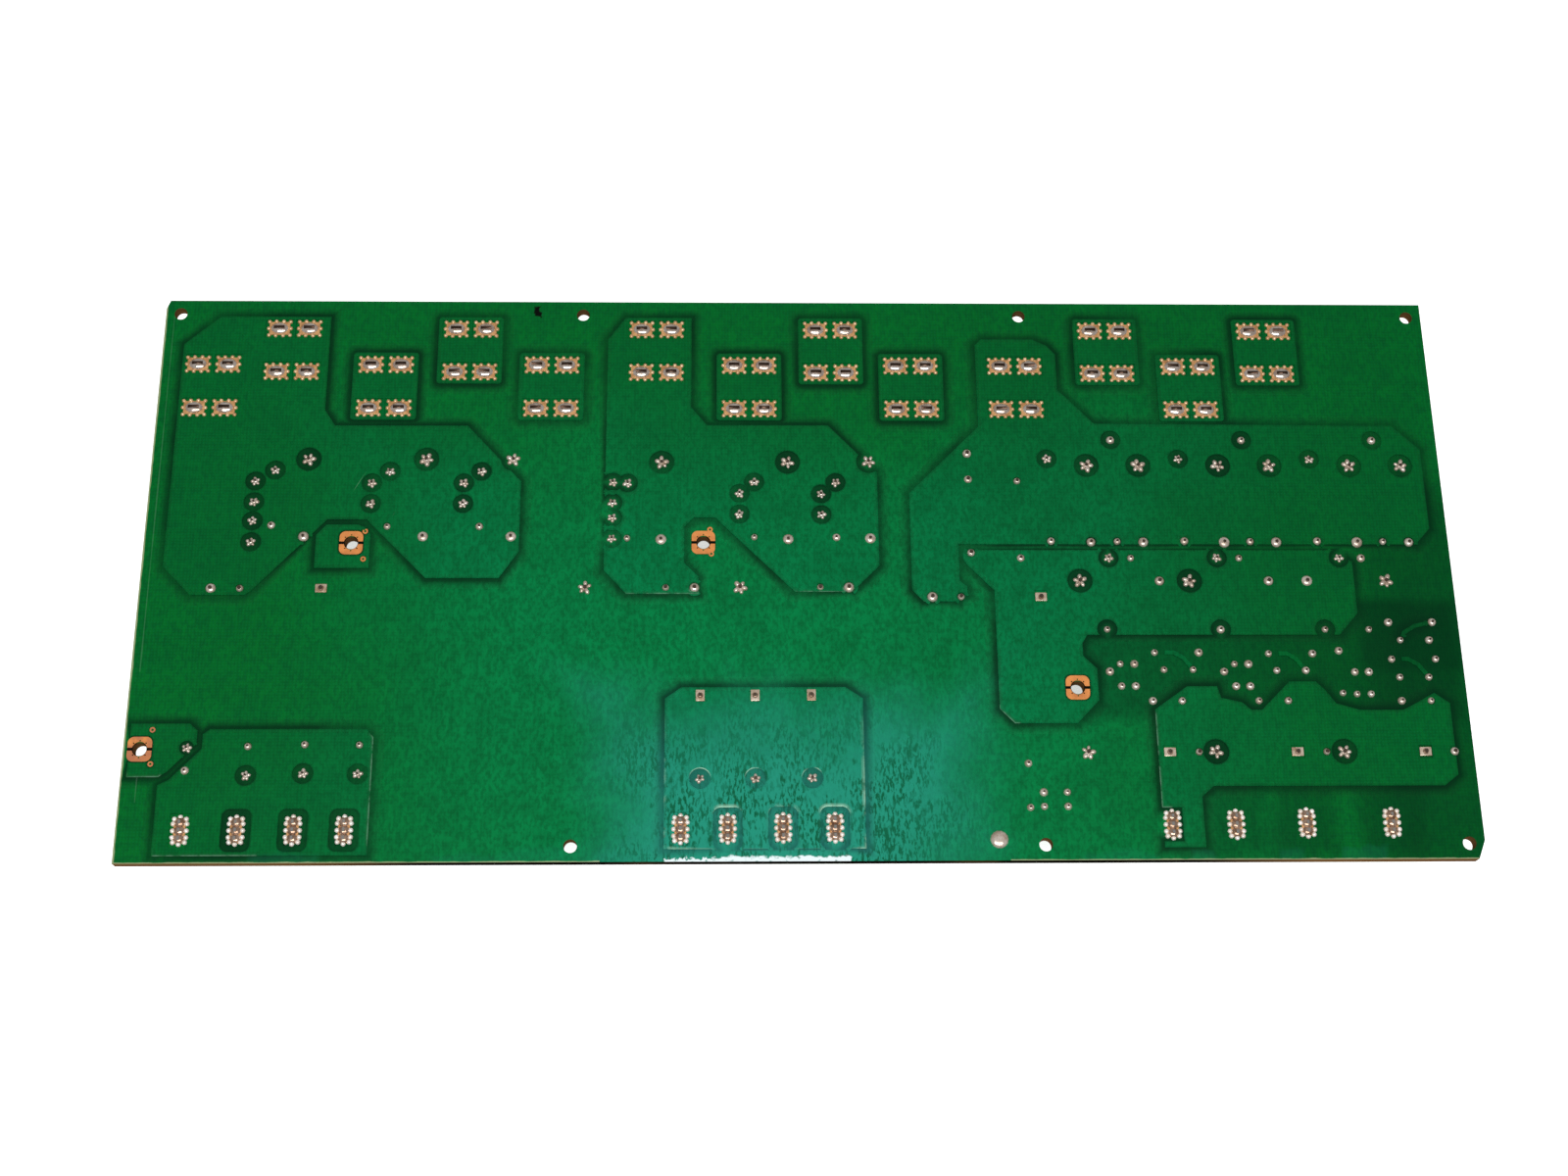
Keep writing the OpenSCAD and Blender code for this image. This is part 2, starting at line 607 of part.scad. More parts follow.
// Flat tab that points down, with a shoulder under the board and three legs through it
module front_tab(number) {
    legs = [
        for (i = [1 : -1 : -1])
            each [
                [i * tab_pitch + tab_leg_w / 2, 0], [i * tab_pitch + tab_leg_w / 2, board_t + lead_tip],
                [i * tab_pitch - tab_leg_w / 2, board_t + lead_tip], [i * tab_pitch - tab_leg_w / 2, 0],
            ]
    ];
    outline = concat(
        [
            [-tab_w / 2 - shoulder_w, 0], [-tab_w / 2 - shoulder_w, -shoulder_h], [-tab_w / 2, -shoulder_h],
            [-tab_w / 2, -tab_h + tab_nose], [-tab_w / 2 + tab_nose, -tab_h],
            [tab_w / 2 - tab_nose, -tab_h], [tab_w / 2, -tab_h + tab_nose],
            [tab_w / 2, -shoulder_h], [tab_w / 2 + shoulder_w, -shoulder_h], [tab_w / 2 + shoulder_w, 0],
        ],
        legs
    );
    color("gainsboro")
        at(tab_places[number], under)
            rotate([90, 0, 90]) translate([0, 0, -tab_t / 2]) linear_extrude(tab_t) polygon(outline);
}

// Plastic case on four feet, with two wire leads
module film_capacitor(number) {
    spot = capacitors[number][0];
    size = [capacitors[number][1], capacitor_l];
    height = capacitors[number][2];
    color("goldenrod") {
        at(spot, under - height) linear_extrude(height - foot_h) rounded(size, case_r);
        for (x = [-1, 1], y = [-1, 1])
            at(spot + [x * (size.x - foot_w) / 2, y * (size.y - foot_w) / 2], under - foot_h - lead_root)
                cylinder(d = foot_w, h = foot_h + lead_root);
        for (joint = pair(spot, ALONG_Y, capacitor_pitch, capacitor_lead_d, [0, 0], [0, 0]))
            lead(joint[0], capacitor_lead_d, under - foot_h - lead_root);
    }
}

// Square block that stands on its leads' side
module varistor(number) {
    leads = varistor_leads(varistors[number]);
    way = varistors[number][1];
    span = norm(leads[len(leads) - 1] - leads[0]);
    length = span + 2 * varistor_end;
    size = way.x == 0 ? [varistor_t, length] : [length, varistor_t];
    color("royalblue") {
        at(leads[0] + way * span / 2, 0) linear_extrude(tall_h) rounded(size, case_r);
        for (spot = leads) lead(spot, varistor_lead_d, under - lead_root);
    }
}

// Coated disc on edge, in the plane of its two leads
module disc(spot, way, pitch, d, t) {
    centre = under - disc_stand - d / 2;
    at(spot, centre) rotate(way.x == 0 ? [0, 90, 0] : [90, 0, 0]) cylinder(d = d, h = t, center = true);
    for (joint = pair(spot, way, pitch, disc_lead_d, [0, 0], [0, 0])) lead(joint[0], disc_lead_d, centre);
}

module disc_capacitors() {
    color("cornflowerblue") {
        for (spot = cell_disc_places) disc(spot, ALONG_Y, disc_pitch, disc_d, disc_t);
        for (spot = row_disc_places) disc(spot, ALONG_X, disc_pitch, disc_d, disc_t);
        disc(place(front_disc_share), ALONG_Y, disc_pitch, disc_d, disc_t);
    }
}

module disc_varistors() {
    color("navy") {
        for (share = front_round_shares) disc(place(share), ALONG_Y, round_pitch, round_d, round_t);
        for (share = control_round_shares) disc(place(share), ALONG_X, round_pitch, round_d, round_t);
    }
}

// Two leads that run out of a lying body and turn up through the board
module bent_leads(spot, way, pitch, axis) {
    at(spot, axis)
        rotate(way.x == 0 ? [90, 0, 0] : [0, 90, 0]) cylinder(d = resistor_lead_d, h = pitch, center = true);
    for (joint = pair(spot, way, pitch, resistor_lead_d, [0, 0], [0, 0])) {
        lead(joint[0], resistor_lead_d, axis);
        at(joint[0], axis) sphere(d = resistor_lead_d);
    }
}

module lying_resistor(spot, way, pitch, length, d) {
    axis = under - body_stand - d / 2;
    at(spot, axis) rotate(way.x == 0 ? [90, 0, 0] : [0, 90, 0]) cylinder(d = d, h = length, center = true);
    bent_leads(spot, way, pitch, axis);
}

module axial_resistors() {
    color("darkseagreen") {
        for (spot = bleed_places) lying_resistor(spot, ALONG_Y, bleed_pitch, bleed_l, power_d);
        for (spot = long_places) lying_resistor(spot, ALONG_Y, long_pitch, long_l, power_d);
        for (share = upright_signal_shares) lying_resistor(place(share), ALONG_Y, signal_pitch, signal_l, signal_d);
        for (share = level_signal_shares) lying_resistor(place(share), ALONG_X, signal_pitch, signal_l, signal_d);
        for (spot = cement_places) {
            at(spot, under - body_stand - cement_w)
                linear_extrude(cement_w) square([cement_w, cement_l], center = true);
            bent_leads(spot, ALONG_Y, cement_pitch, under - body_stand - cement_w / 2);
        }
    }
}

// Flat body with four leads bent up through the board
module optical_isolators() {
    color("dimgray")
        for (isolator = isolators()) {
            width = isolator_row - 2 * isolator_gap - isolator_lead_d;
            way = isolator[1];
            at(isolator[0], under - body_stand - isolator_h)
                linear_extrude(isolator_h) square(way.x == 0 ? [width, isolator_l] : [isolator_l, width], center = true);
            for (end = [-1, 1])
                at(isolator[0] + way * end * isolator_pitch / 2, under - body_stand - isolator_h / 2 - frame_t / 2)
                    linear_extrude(frame_t)
                        square(way.x == 0 ? [isolator_row, isolator_lead_d] : [isolator_lead_d, isolator_row],
                            center = true);
            for (spot = isolator_leads(isolator))
                lead(spot, isolator_lead_d, under - body_stand - isolator_h / 2 - frame_t / 2);
        }
}

// Ring of solder that narrows towards the lead's tip
module solder_ring(d, h, lead_d) {
    difference() {
        cylinder(d1 = d, d2 = d * joint_top_share, h = h);
        translate([0, 0, -over]) cylinder(d = lead_d + 2 * solder_gap, h = h + 2 * over);
    }
}

module star(r, lead_d) {
    solder_ring(core_d, joint_h, lead_d);
    for (i = [0 : bump_count - 1])
        rotate(i * 360 / bump_count) translate([r, 0, 0])
            cylinder(d1 = bump_d, d2 = bump_d * joint_top_share, h = bump_h);
}

module wire_joint(joint) {
    lead_d = joint[1];
    kind = joint[2];
    at(joint[0], top) {
        if (kind == ROUND) solder_ring(joint_d, joint_h, lead_d);
        if (kind == SMALL) solder_ring(small_joint_d, joint_h, lead_d);
        if (kind == STAR) star(star_r, lead_d);
        if (kind == BIG_STAR) star(big_star_r, lead_d);
        if (kind == SQUARE)
            linear_extrude(square_h)
                difference() {
                    square(square_w, center = true);
                    circle(d = lead_d + 2 * solder_gap);
                }
    }
}

// Sheet of solder on a pad with a mound round the legs
module pad_solder(pad, legs, leg) {
    span = [0, legs[len(legs) - 1] - legs[0]];
    difference() {
        union() {
            linear_extrude(sheet_h) rounded(pad, plate_r);
            linear_extrude(mound_h) rounded(leg + span + [2, 2] * mound_margin, mound_margin);
        }
        for (y = legs)
            translate([0, y, -over]) linear_extrude(mound_h + 2 * over) square(leg + [2, 2] * solder_gap, center = true);
    }
}

module solder_joints() {
    color("lightgray") {
        for (joint = joints) wire_joint(joint);
        for (spot = leg_places) at(spot, top) pad_solder([pad_w, pad_d], [0], [leg_w, leg_t]);
        for (spot = tab_places)
            at(spot, top) pad_solder([tab_pad_w, tab_pad_d], [-tab_pitch, 0, tab_pitch], [tab_t, tab_leg_w]);
        at(place(filled_share), top) cylinder(d1 = filled_d, d2 = filled_d * joint_top_share, h = joint_h);
    }
}

circuit_board();
copper_layer();
ground_lands();
solder_joints();
for (i = [0 : len(terminal_places) - 1])
    rear_terminal(i);
for (i = [0 : len(tab_places) - 1])
    front_tab(i);
for (i = [0 : len(capacitors) - 1])
    film_capacitor(i);
for (i = [0 : len(varistors) - 1])
    varistor(i);
disc_capacitors();
disc_varistors();
axial_resistors();
optical_isolators();
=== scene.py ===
"""Filter board of a mains input, lying solder side up, dressed over its fixed frame.

The solder side is made of a copper skin under green lacquer, solder pads and wire joints. The parts that
hang below the board are copies of their solids with rounded edges. All lengths are metres.
"""
import json
import logging
import math
import random
from dataclasses import dataclass
from enum import Enum
from typing import Any, Iterable, Iterator, Sequence

import bmesh
import bpy
from mathutils import Matrix, Vector


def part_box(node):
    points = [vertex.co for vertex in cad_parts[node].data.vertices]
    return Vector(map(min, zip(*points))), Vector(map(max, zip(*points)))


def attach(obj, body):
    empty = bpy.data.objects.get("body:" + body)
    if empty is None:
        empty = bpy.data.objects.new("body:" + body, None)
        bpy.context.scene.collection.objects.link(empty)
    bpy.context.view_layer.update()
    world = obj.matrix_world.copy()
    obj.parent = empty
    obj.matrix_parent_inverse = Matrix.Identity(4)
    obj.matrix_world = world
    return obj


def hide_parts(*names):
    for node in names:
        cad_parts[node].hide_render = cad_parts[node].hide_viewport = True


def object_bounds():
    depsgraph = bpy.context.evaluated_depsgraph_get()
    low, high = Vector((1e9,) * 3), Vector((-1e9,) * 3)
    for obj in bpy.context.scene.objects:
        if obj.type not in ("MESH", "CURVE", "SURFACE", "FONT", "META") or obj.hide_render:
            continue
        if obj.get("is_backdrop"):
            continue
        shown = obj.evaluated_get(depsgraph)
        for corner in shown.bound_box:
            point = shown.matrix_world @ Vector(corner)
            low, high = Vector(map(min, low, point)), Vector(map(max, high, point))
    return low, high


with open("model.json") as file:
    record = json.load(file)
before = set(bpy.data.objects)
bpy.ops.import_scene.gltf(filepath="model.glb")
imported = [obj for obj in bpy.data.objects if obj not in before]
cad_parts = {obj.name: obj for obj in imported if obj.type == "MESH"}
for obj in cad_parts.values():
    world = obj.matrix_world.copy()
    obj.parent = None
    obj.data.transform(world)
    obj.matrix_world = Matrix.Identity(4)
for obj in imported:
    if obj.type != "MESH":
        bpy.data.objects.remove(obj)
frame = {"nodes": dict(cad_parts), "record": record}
CAD_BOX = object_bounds()
BOARD_LOW, BOARD_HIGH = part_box("circuit_board")

LOG = logging.getLogger("filter_board")
MM = 0.001
BODY = "root"
EARTH_HOLES = [mount for mount in frame["record"]["mounts"] if "earth" in mount["name"]]
# Half width, half depth and softness of the dark slit between the halves of an earth land.
LAND_SLIT = (3.9 * MM, 2.0 * MM, 0.1 * MM)
Triple = tuple[float, float, float]
Colour = Triple
Socket = bpy.types.NodeSocket


class Slot(Enum):
    """Material slots of the record, by which the new pieces' finishes are sorted and the cases' finishes
    named.
    """

    LAMINATE = "masked_laminate"
    MASK = "solder_mask"
    SOLDER = "solder"
    STEEL = "tinned_steel"
    TAB = "tinned_brass"
    CAPACITOR = "capacitor_case"
    VARISTOR = "varistor_case"
    DISC = "disc_coating"
    DISC_VARISTOR = "varistor_coating"
    RESISTOR = "resistor_coating"
    ISOLATOR = "isolator_resin"


class Joint(Enum):
    """Kinds of solder on the board, told apart by the width and depth of their solids in millimetres."""

    TERMINAL_PAD = (8.9, 6.7)
    TAB_PAD = (6.0, 10.4)
    FILLED_HOLE = (5.0, 5.0)
    SQUARE = (3.8, 3.8)
    ROUND = (3.0, 3.0)
    SMALL = (2.2, 2.2)
    STAR = (2.0, 2.0)
    BUMP = (0.95, 0.95)

    @property
    def size(self) -> tuple[float, float]:
        """Returns the width and the depth in metres."""
        return self.value[0] * MM, self.value[1] * MM

    @classmethod
    def of_size(cls, width: float, depth: float) -> "Joint":
        """Returns the kind whose footprint is nearest to a width and a depth in metres."""
        return min(cls, key=lambda kind: math.dist(kind.size, (width, depth)))


class Graph:
    """Short ways to add nodes to a node tree and to link them."""

    # The Mix node's colour sockets go by number, because its other kinds have sockets of the same names.
    MIX_FIRST, MIX_SECOND, MIX_RESULT = 6, 7, 2

    def __init__(self, tree: bpy.types.NodeTree) -> None:
        """Keeps the tree that the nodes go into."""
        self.tree = tree

    def feed(self, socket: Socket, value: Any) -> None:
        """Links a socket, or sets a plain value on it.

        Args:
            socket: The input to feed.
            value: Another node's output, a number, or a tuple of numbers.
        """
        if isinstance(value, bpy.types.NodeSocket):
            self.tree.links.new(value, socket)
        elif isinstance(value, tuple) and socket.type == "RGBA":
            socket.default_value = (*value, 1.0)
        else:
            socket.default_value = value

    def add(self, kind: str, inputs: dict[Any, Any], **settings: Any) -> bpy.types.Node:
        """Adds a node.

        Args:
            kind: Blender's name of the node's type.
            inputs: Values by the names or numbers of the inputs.
            settings: Properties of the node itself.

        Returns:
            The new node.
        """
        node = self.tree.nodes.new(kind)
        for name, value in settings.items():
            setattr(node, name, value)
        for key, value in inputs.items():
            self.feed(node.inputs[key], value)
        return node

    def math(self, operation: str, first: Any, second: Any = 0.0) -> Socket:
        """Adds a Math node and returns its value."""
        return self.add("ShaderNodeMath", {0: first, 1: second}, operation=operation).outputs[0]

    def times(self, first: Any, *others: Any) -> Socket:
        """Multiplies values.

        Args:
            first: The first value.
            others: The further values.

        Returns:
            Their product.
        """
        product = first
        for other in others:
            product = self.math("MULTIPLY", product, other)
        return product

    def largest(self, values: Sequence[Any]) -> Socket:
        """Compares values.

        Args:
            values: Two or more values.

        Returns:
            The largest of them.
        """
        best = values[0]
        for value in values[1:]:
            best = self.math("MAXIMUM", best, value)
        return best

    def mix(self, share: Any, first: Any, second: Any) -> Socket:
        """Mixes two colours.

        Args:
            share: Share of the second colour.
            first: The colour at share nought.
            second: The colour at share one.

        Returns:
            The mixed colour.
        """
        inputs = {"Factor": share, self.MIX_FIRST: first, self.MIX_SECOND: second}
        return self.add("ShaderNodeMix", inputs, data_type="RGBA").outputs[self.MIX_RESULT]

    def span(self, value: Any, low: Any, high: Any, to_low: float = 0.0, to_high: float = 1.0) -> Socket:
        """Maps a span of a value smoothly onto another span and returns it."""
        inputs = {"Value": value, "From Min": low, "From Max": high, "To Min": to_low, "To Max": to_high}
        return self.add("ShaderNodeMapRange", inputs, interpolation_type="SMOOTHSTEP").outputs[0]

    def noise(self, vector: Socket, scale: Any, detail: float = 3.0, roughness: float = 0.55) -> Socket:
        """Adds a noise texture and returns its value."""
        inputs = {"Vector": vector, "Scale": scale, "Detail": detail, "Roughness": roughness}
        return self.add("ShaderNodeTexNoise", inputs).outputs[0]

    def vector(self, operation: str, first: Any, second: Any = (0.0, 0.0, 0.0)) -> Socket:
        """Adds a Vector Math node and returns its vector."""
        return self.add("ShaderNodeVectorMath", {0: first, 1: second}, operation=operation).outputs[0]

    def axis(self, vector: Socket, number: int) -> Socket:
        """Returns one part of a vector."""
        return self.add("ShaderNodeSeparateXYZ", {0: vector}).outputs[number]

    def attribute(self, name: str) -> Socket:
        """Returns a value that a piece's mesh carries, or nought where it carries none."""
        return self.add("ShaderNodeAttribute", {}, attribute_name=name).outputs["Fac"]

    def use(self, group: bpy.types.NodeTree, inputs: dict[str, Any]) -> Socket:
        """Places a shared group.

        Args:
            group: The group.
            inputs: Values by the names of its inputs.

        Returns:
            Its first output.
        """
        node = self.tree.nodes.new("ShaderNodeGroup")
        node.node_tree = group
        for name, value in inputs.items():
            self.feed(node.inputs[name], value)
        return node.outputs[0]


class Effects:
    """Shader groups that several finishes share."""

    NOISE_MIDDLE = 0.5
    MOTTLE_DETAIL = 4.0
    MOTTLE_ROUGHNESS = 0.6
    SCRATCH_TURNS = (0.5, 2.1)
    SCRATCH_STRETCH = (0.06, 1.0, 1.0)
    SCRATCH_DETAIL = 2.0
    SCRATCH_WIDTH = 0.006
    SPARSE_SCALE_SHARE = 0.4
    SPARSE_SPAN = (0.5, 0.6)

    def __init__(self) -> None:
        """Builds every group once."""
        self.patch = self._patch()
        self.mottle = self._mottle()
        self.weave = self._weave()
        self.scratches = self._scratches()

    @staticmethod
    def _start(name: str, inputs: dict[str, Any], output: str) -> tuple[Graph, dict[str, Socket], Socket]:
        """Starts a group with named sockets.

        Args:
            name: The group's name.
            inputs: Default of each input by its name: a tuple for a vector, or a number.
            output: Name of the only output, a value.

        Returns:
            The group's graph, its inputs by name, and the socket that its result goes to.
        """
        tree = bpy.data.node_groups.new(name, "ShaderNodeTree")
        for label, default in inputs.items():
            kind = "NodeSocketVector" if isinstance(default, tuple) else "NodeSocketFloat"
            socket = tree.interface.new_socket(label, in_out="INPUT", socket_type=kind)
            socket.default_value = default
        tree.interface.new_socket(output, in_out="OUTPUT", socket_type="NodeSocketFloat")
        source = tree.nodes.new("NodeGroupInput")
        sink = tree.nodes.new("NodeGroupOutput")
        return Graph(tree), {label: source.outputs[label] for label in inputs}, sink.inputs[0]

    def _patch(self) -> bpy.types.NodeTree:
        """Makes a soft-edged rectangle on the board, as a mask.

        Returns:
            The group.
        """
        inputs = {
            "Vector": (0.0, 0.0, 0.0),
            "Centre": (0.0, 0.0, 0.0),
            "Half Size": (0.01, 0.01, 1.0),
            "Softness": 0.01,
            "Ragged": 0.0,
            "Grain": 100.0,
        }
        graph, given, result = self._start("soft patch", inputs, "Mask")
        away = graph.vector("ABSOLUTE", graph.vector("SUBTRACT", given["Vector"], given["Centre"]))
        past = graph.vector("SUBTRACT", away, given["Half Size"])
        farthest = graph.math("MAXIMUM", graph.axis(past, 0), graph.axis(past, 1))
        wander = graph.math("SUBTRACT", graph.noise(given["Vector"], given["Grain"]), self.NOISE_MIDDLE)
        distance = graph.math("ADD", farthest, graph.times(wander, given["Ragged"]))
        graph.feed(result, graph.span(distance, given["Softness"], 0.0))
        return graph.tree

    def _mottle(self) -> bpy.types.NodeTree:
        """Makes uneven blotches, as a mask.

        Returns:
            The group.
        """
        inputs = {
            "Vector": (0.0, 0.0, 0.0), "Stretch": (1.0, 1.0, 1.0), "Scale": 100.0, "Low": 0.4, "High": 0.6,
        }
        graph, given, result = self._start("mottle", inputs, "Mask")
        place = graph.vector("MULTIPLY", given["Vector"], given["Stretch"])
        cloud = graph.noise(place, given["Scale"], self.MOTTLE_DETAIL, self.MOTTLE_ROUGHNESS)
        graph.feed(result, graph.span(cloud, given["Low"], given["High"]))
        return graph.tree

    def _weave(self) -> bpy.types.NodeTree:
        """Makes the cross weave of glass cloth, as a height.

        Returns:
            The group.
        """
        inputs = {"Vector": (0.0, 0.0, 0.0), "Scale": 300.0}
        graph, given, result = self._start("glass weave", inputs, "Height")
        waves = {"Vector": given["Vector"], "Scale": given["Scale"], "Distortion": 1.2, "Detail": 1.0}
        bands = [graph.add("ShaderNodeTexWave", waves, bands_direction=way).outputs[1] for way in ("X", "Y")]
        graph.feed(result, graph.times(*bands))
        return graph.tree

    def _scratches(self) -> bpy.types.NodeTree:
        """Makes sparse thin scratches, as a mask.

        Returns:
            The group.
        """
        inputs = {"Vector": (0.0, 0.0, 0.0), "Scale": 60.0, "Amount": 0.5}
        graph, given, result = self._start("scratches", inputs, "Mask")
        lines = []
        for turn in self.SCRATCH_TURNS:
            around = {"Vector": given["Vector"], "Angle": turn}
            turned = graph.add("ShaderNodeVectorRotate", around).outputs[0]
            drawn_out = graph.vector("MULTIPLY", turned, self.SCRATCH_STRETCH)
            cloud = graph.noise(drawn_out, given["Scale"], self.SCRATCH_DETAIL)
            ridge = graph.math("ABSOLUTE", graph.math("SUBTRACT", cloud, self.NOISE_MIDDLE))
            lines.append(graph.span(ridge, self.SCRATCH_WIDTH, 0.0))
        gaps = graph.noise(given["Vector"], graph.times(given["Scale"], self.SPARSE_SCALE_SHARE))
        sparse = graph.span(gaps, *self.SPARSE_SPAN)
        graph.feed(result, graph.times(graph.largest(lines), sparse, given["Amount"]))
        return graph.tree


class Finish:
    """Base of the finishes: a material with a Principled shader and object coordinates."""

    def __init__(self, name: str) -> None:
        """Starts the material.

        Args:
            name: Name of the material.
        """
        self.material = bpy.data.materials.new(name)
        self.material.use_nodes = True
        self.graph = Graph(self.material.node_tree)
        self.shader = self.material.node_tree.nodes["Principled BSDF"]
        self.place = self.graph.add("ShaderNodeTexCoord", {}).outputs["Object"]

    def set(self, **inputs: Any) -> None:
        """Feeds inputs of the shader, with underscores for the spaces in their names."""
        for name, value in inputs.items():
            self.graph.feed(self.shader.inputs[name.replace("_", " ")], value)

    def bump(self, height: Socket, strength: float, distance: float) -> None:
        """Gives the shader a bump from a height."""
        inputs = {"Height": height, "Strength": strength, "Distance": distance}
        self.set(Normal=self.graph.add("ShaderNodeBump", inputs).outputs[0])

    def scratches(self, effects: Effects, scale: float, amount: float) -> Socket:
        """Returns sparse thin scratches as a mask."""
        return self.graph.use(effects.scratches, {"Vector": self.place, "Scale": scale, "Amount": amount})


@dataclass(frozen=True)
class Patch:
    """A soft-edged rectangle on the board's face, with its sides in shares of the board's width and depth.

    How soft and how ragged its edge is are lengths, and the grain is the scale of the raggedness.
    """

    left: float
    right: float
    front: float
    rear: float
    soft: float
    ragged: float = 0.0
    grain: float = 100.0

    @classmethod
    def about(cls, centre: Sequence[float], half_width: float, half_depth: float, soft: float) -> "Patch":
        """Returns the patch round a point of the board, all in metres."""
        size = BOARD_HIGH - BOARD_LOW
        x, y = (centre[0] - BOARD_LOW.x) / size.x, (centre[1] - BOARD_LOW.y) / size.y
        wide, deep = half_width / size.x, half_depth / size.y
        return cls(x - wide, x + wide, y - deep, y + deep, soft)

    def mask(self, finish: Finish, effects: Effects) -> Socket:
        """Places the patch in a finish.

        Args:
            finish: The finish.
            effects: The shared groups.

        Returns:
            The patch as a mask.
        """
        size = BOARD_HIGH - BOARD_LOW
        inputs = {
            "Vector": finish.place,
            "Centre": (
                BOARD_LOW.x + size.x * (self.left + self.right) / 2,
                BOARD_LOW.y + size.y * (self.front + self.rear) / 2,
                0.0,
            ),
            "Half Size": (size.x * (self.right - self.left) / 2, size.y * (self.rear - self.front) / 2, 1.0),
            "Softness": self.soft,
            "Ragged": self.ragged,
            "Grain": self.grain,
        }
        return finish.graph.use(effects.patch, inputs)


@dataclass(frozen=True)
class Shade:
    """A patch where the lacquer is darker, on the laminate alone or over copper too."""

    patch: Patch
    strength: float
    only_laminate: bool = True


@dataclass(frozen=True)
class Blotch:
    """Uneven blotches: their scale, the span of the noise that shows, their strength and their stretch."""

    scale: float
    low: float
    high: float
    strength: float = 1.0
    stretch: Triple = (1.0, 1.0, 1.0)

    def mask(self, finish: Finish, effects: Effects) -> Socket:
        """Places the blotches in a finish.

        Args:
            finish: The finish.
            effects: The shared groups.

        Returns:
            The blotches as a mask.
        """
        inputs = {
            "Vector": finish.place,
            "Stretch": self.stretch,
            "Scale": self.scale,
            "Low": self.low,
            "High": self.high,
        }
        return finish.graph.times(finish.graph.use(effects.mottle, inputs), self.strength)


@dataclass(frozen=True)
class LacquerTones:
    """Colours of the green lacquer, on the laminate and over copper, and of what lies on it. The lit colours
    are painted light, as are the colours of the pale sheen, of the glints and of the cream edge highlights,
    and the dark of the pooled bands is partly painted shade.
    """

    laminate: Colour = (0.0, 0.114, 0.0150)
    laminate_lit: Colour = (0.0, 0.172, 0.047)
    copper: Colour = (0.0, 0.101, 0.0165)
    copper_lit: Colour = (0.0, 0.166, 0.053)
    haze: Colour = (0.015, 0.246, 0.168)
    streak: Colour = (0.0, 0.056, 0.013)
    pool: Colour = (0.0, 0.020, 0.006)
    hazy_pool: Colour = (0.008, 0.095, 0.078)
    glint: Colour = (0.34, 0.60, 0.44)
    residue: Colour = (0.70, 0.80, 0.82)
    ink: Colour = (0.002, 0.003, 0.002)
    rim: Colour = (0.62, 0.60, 0.36)


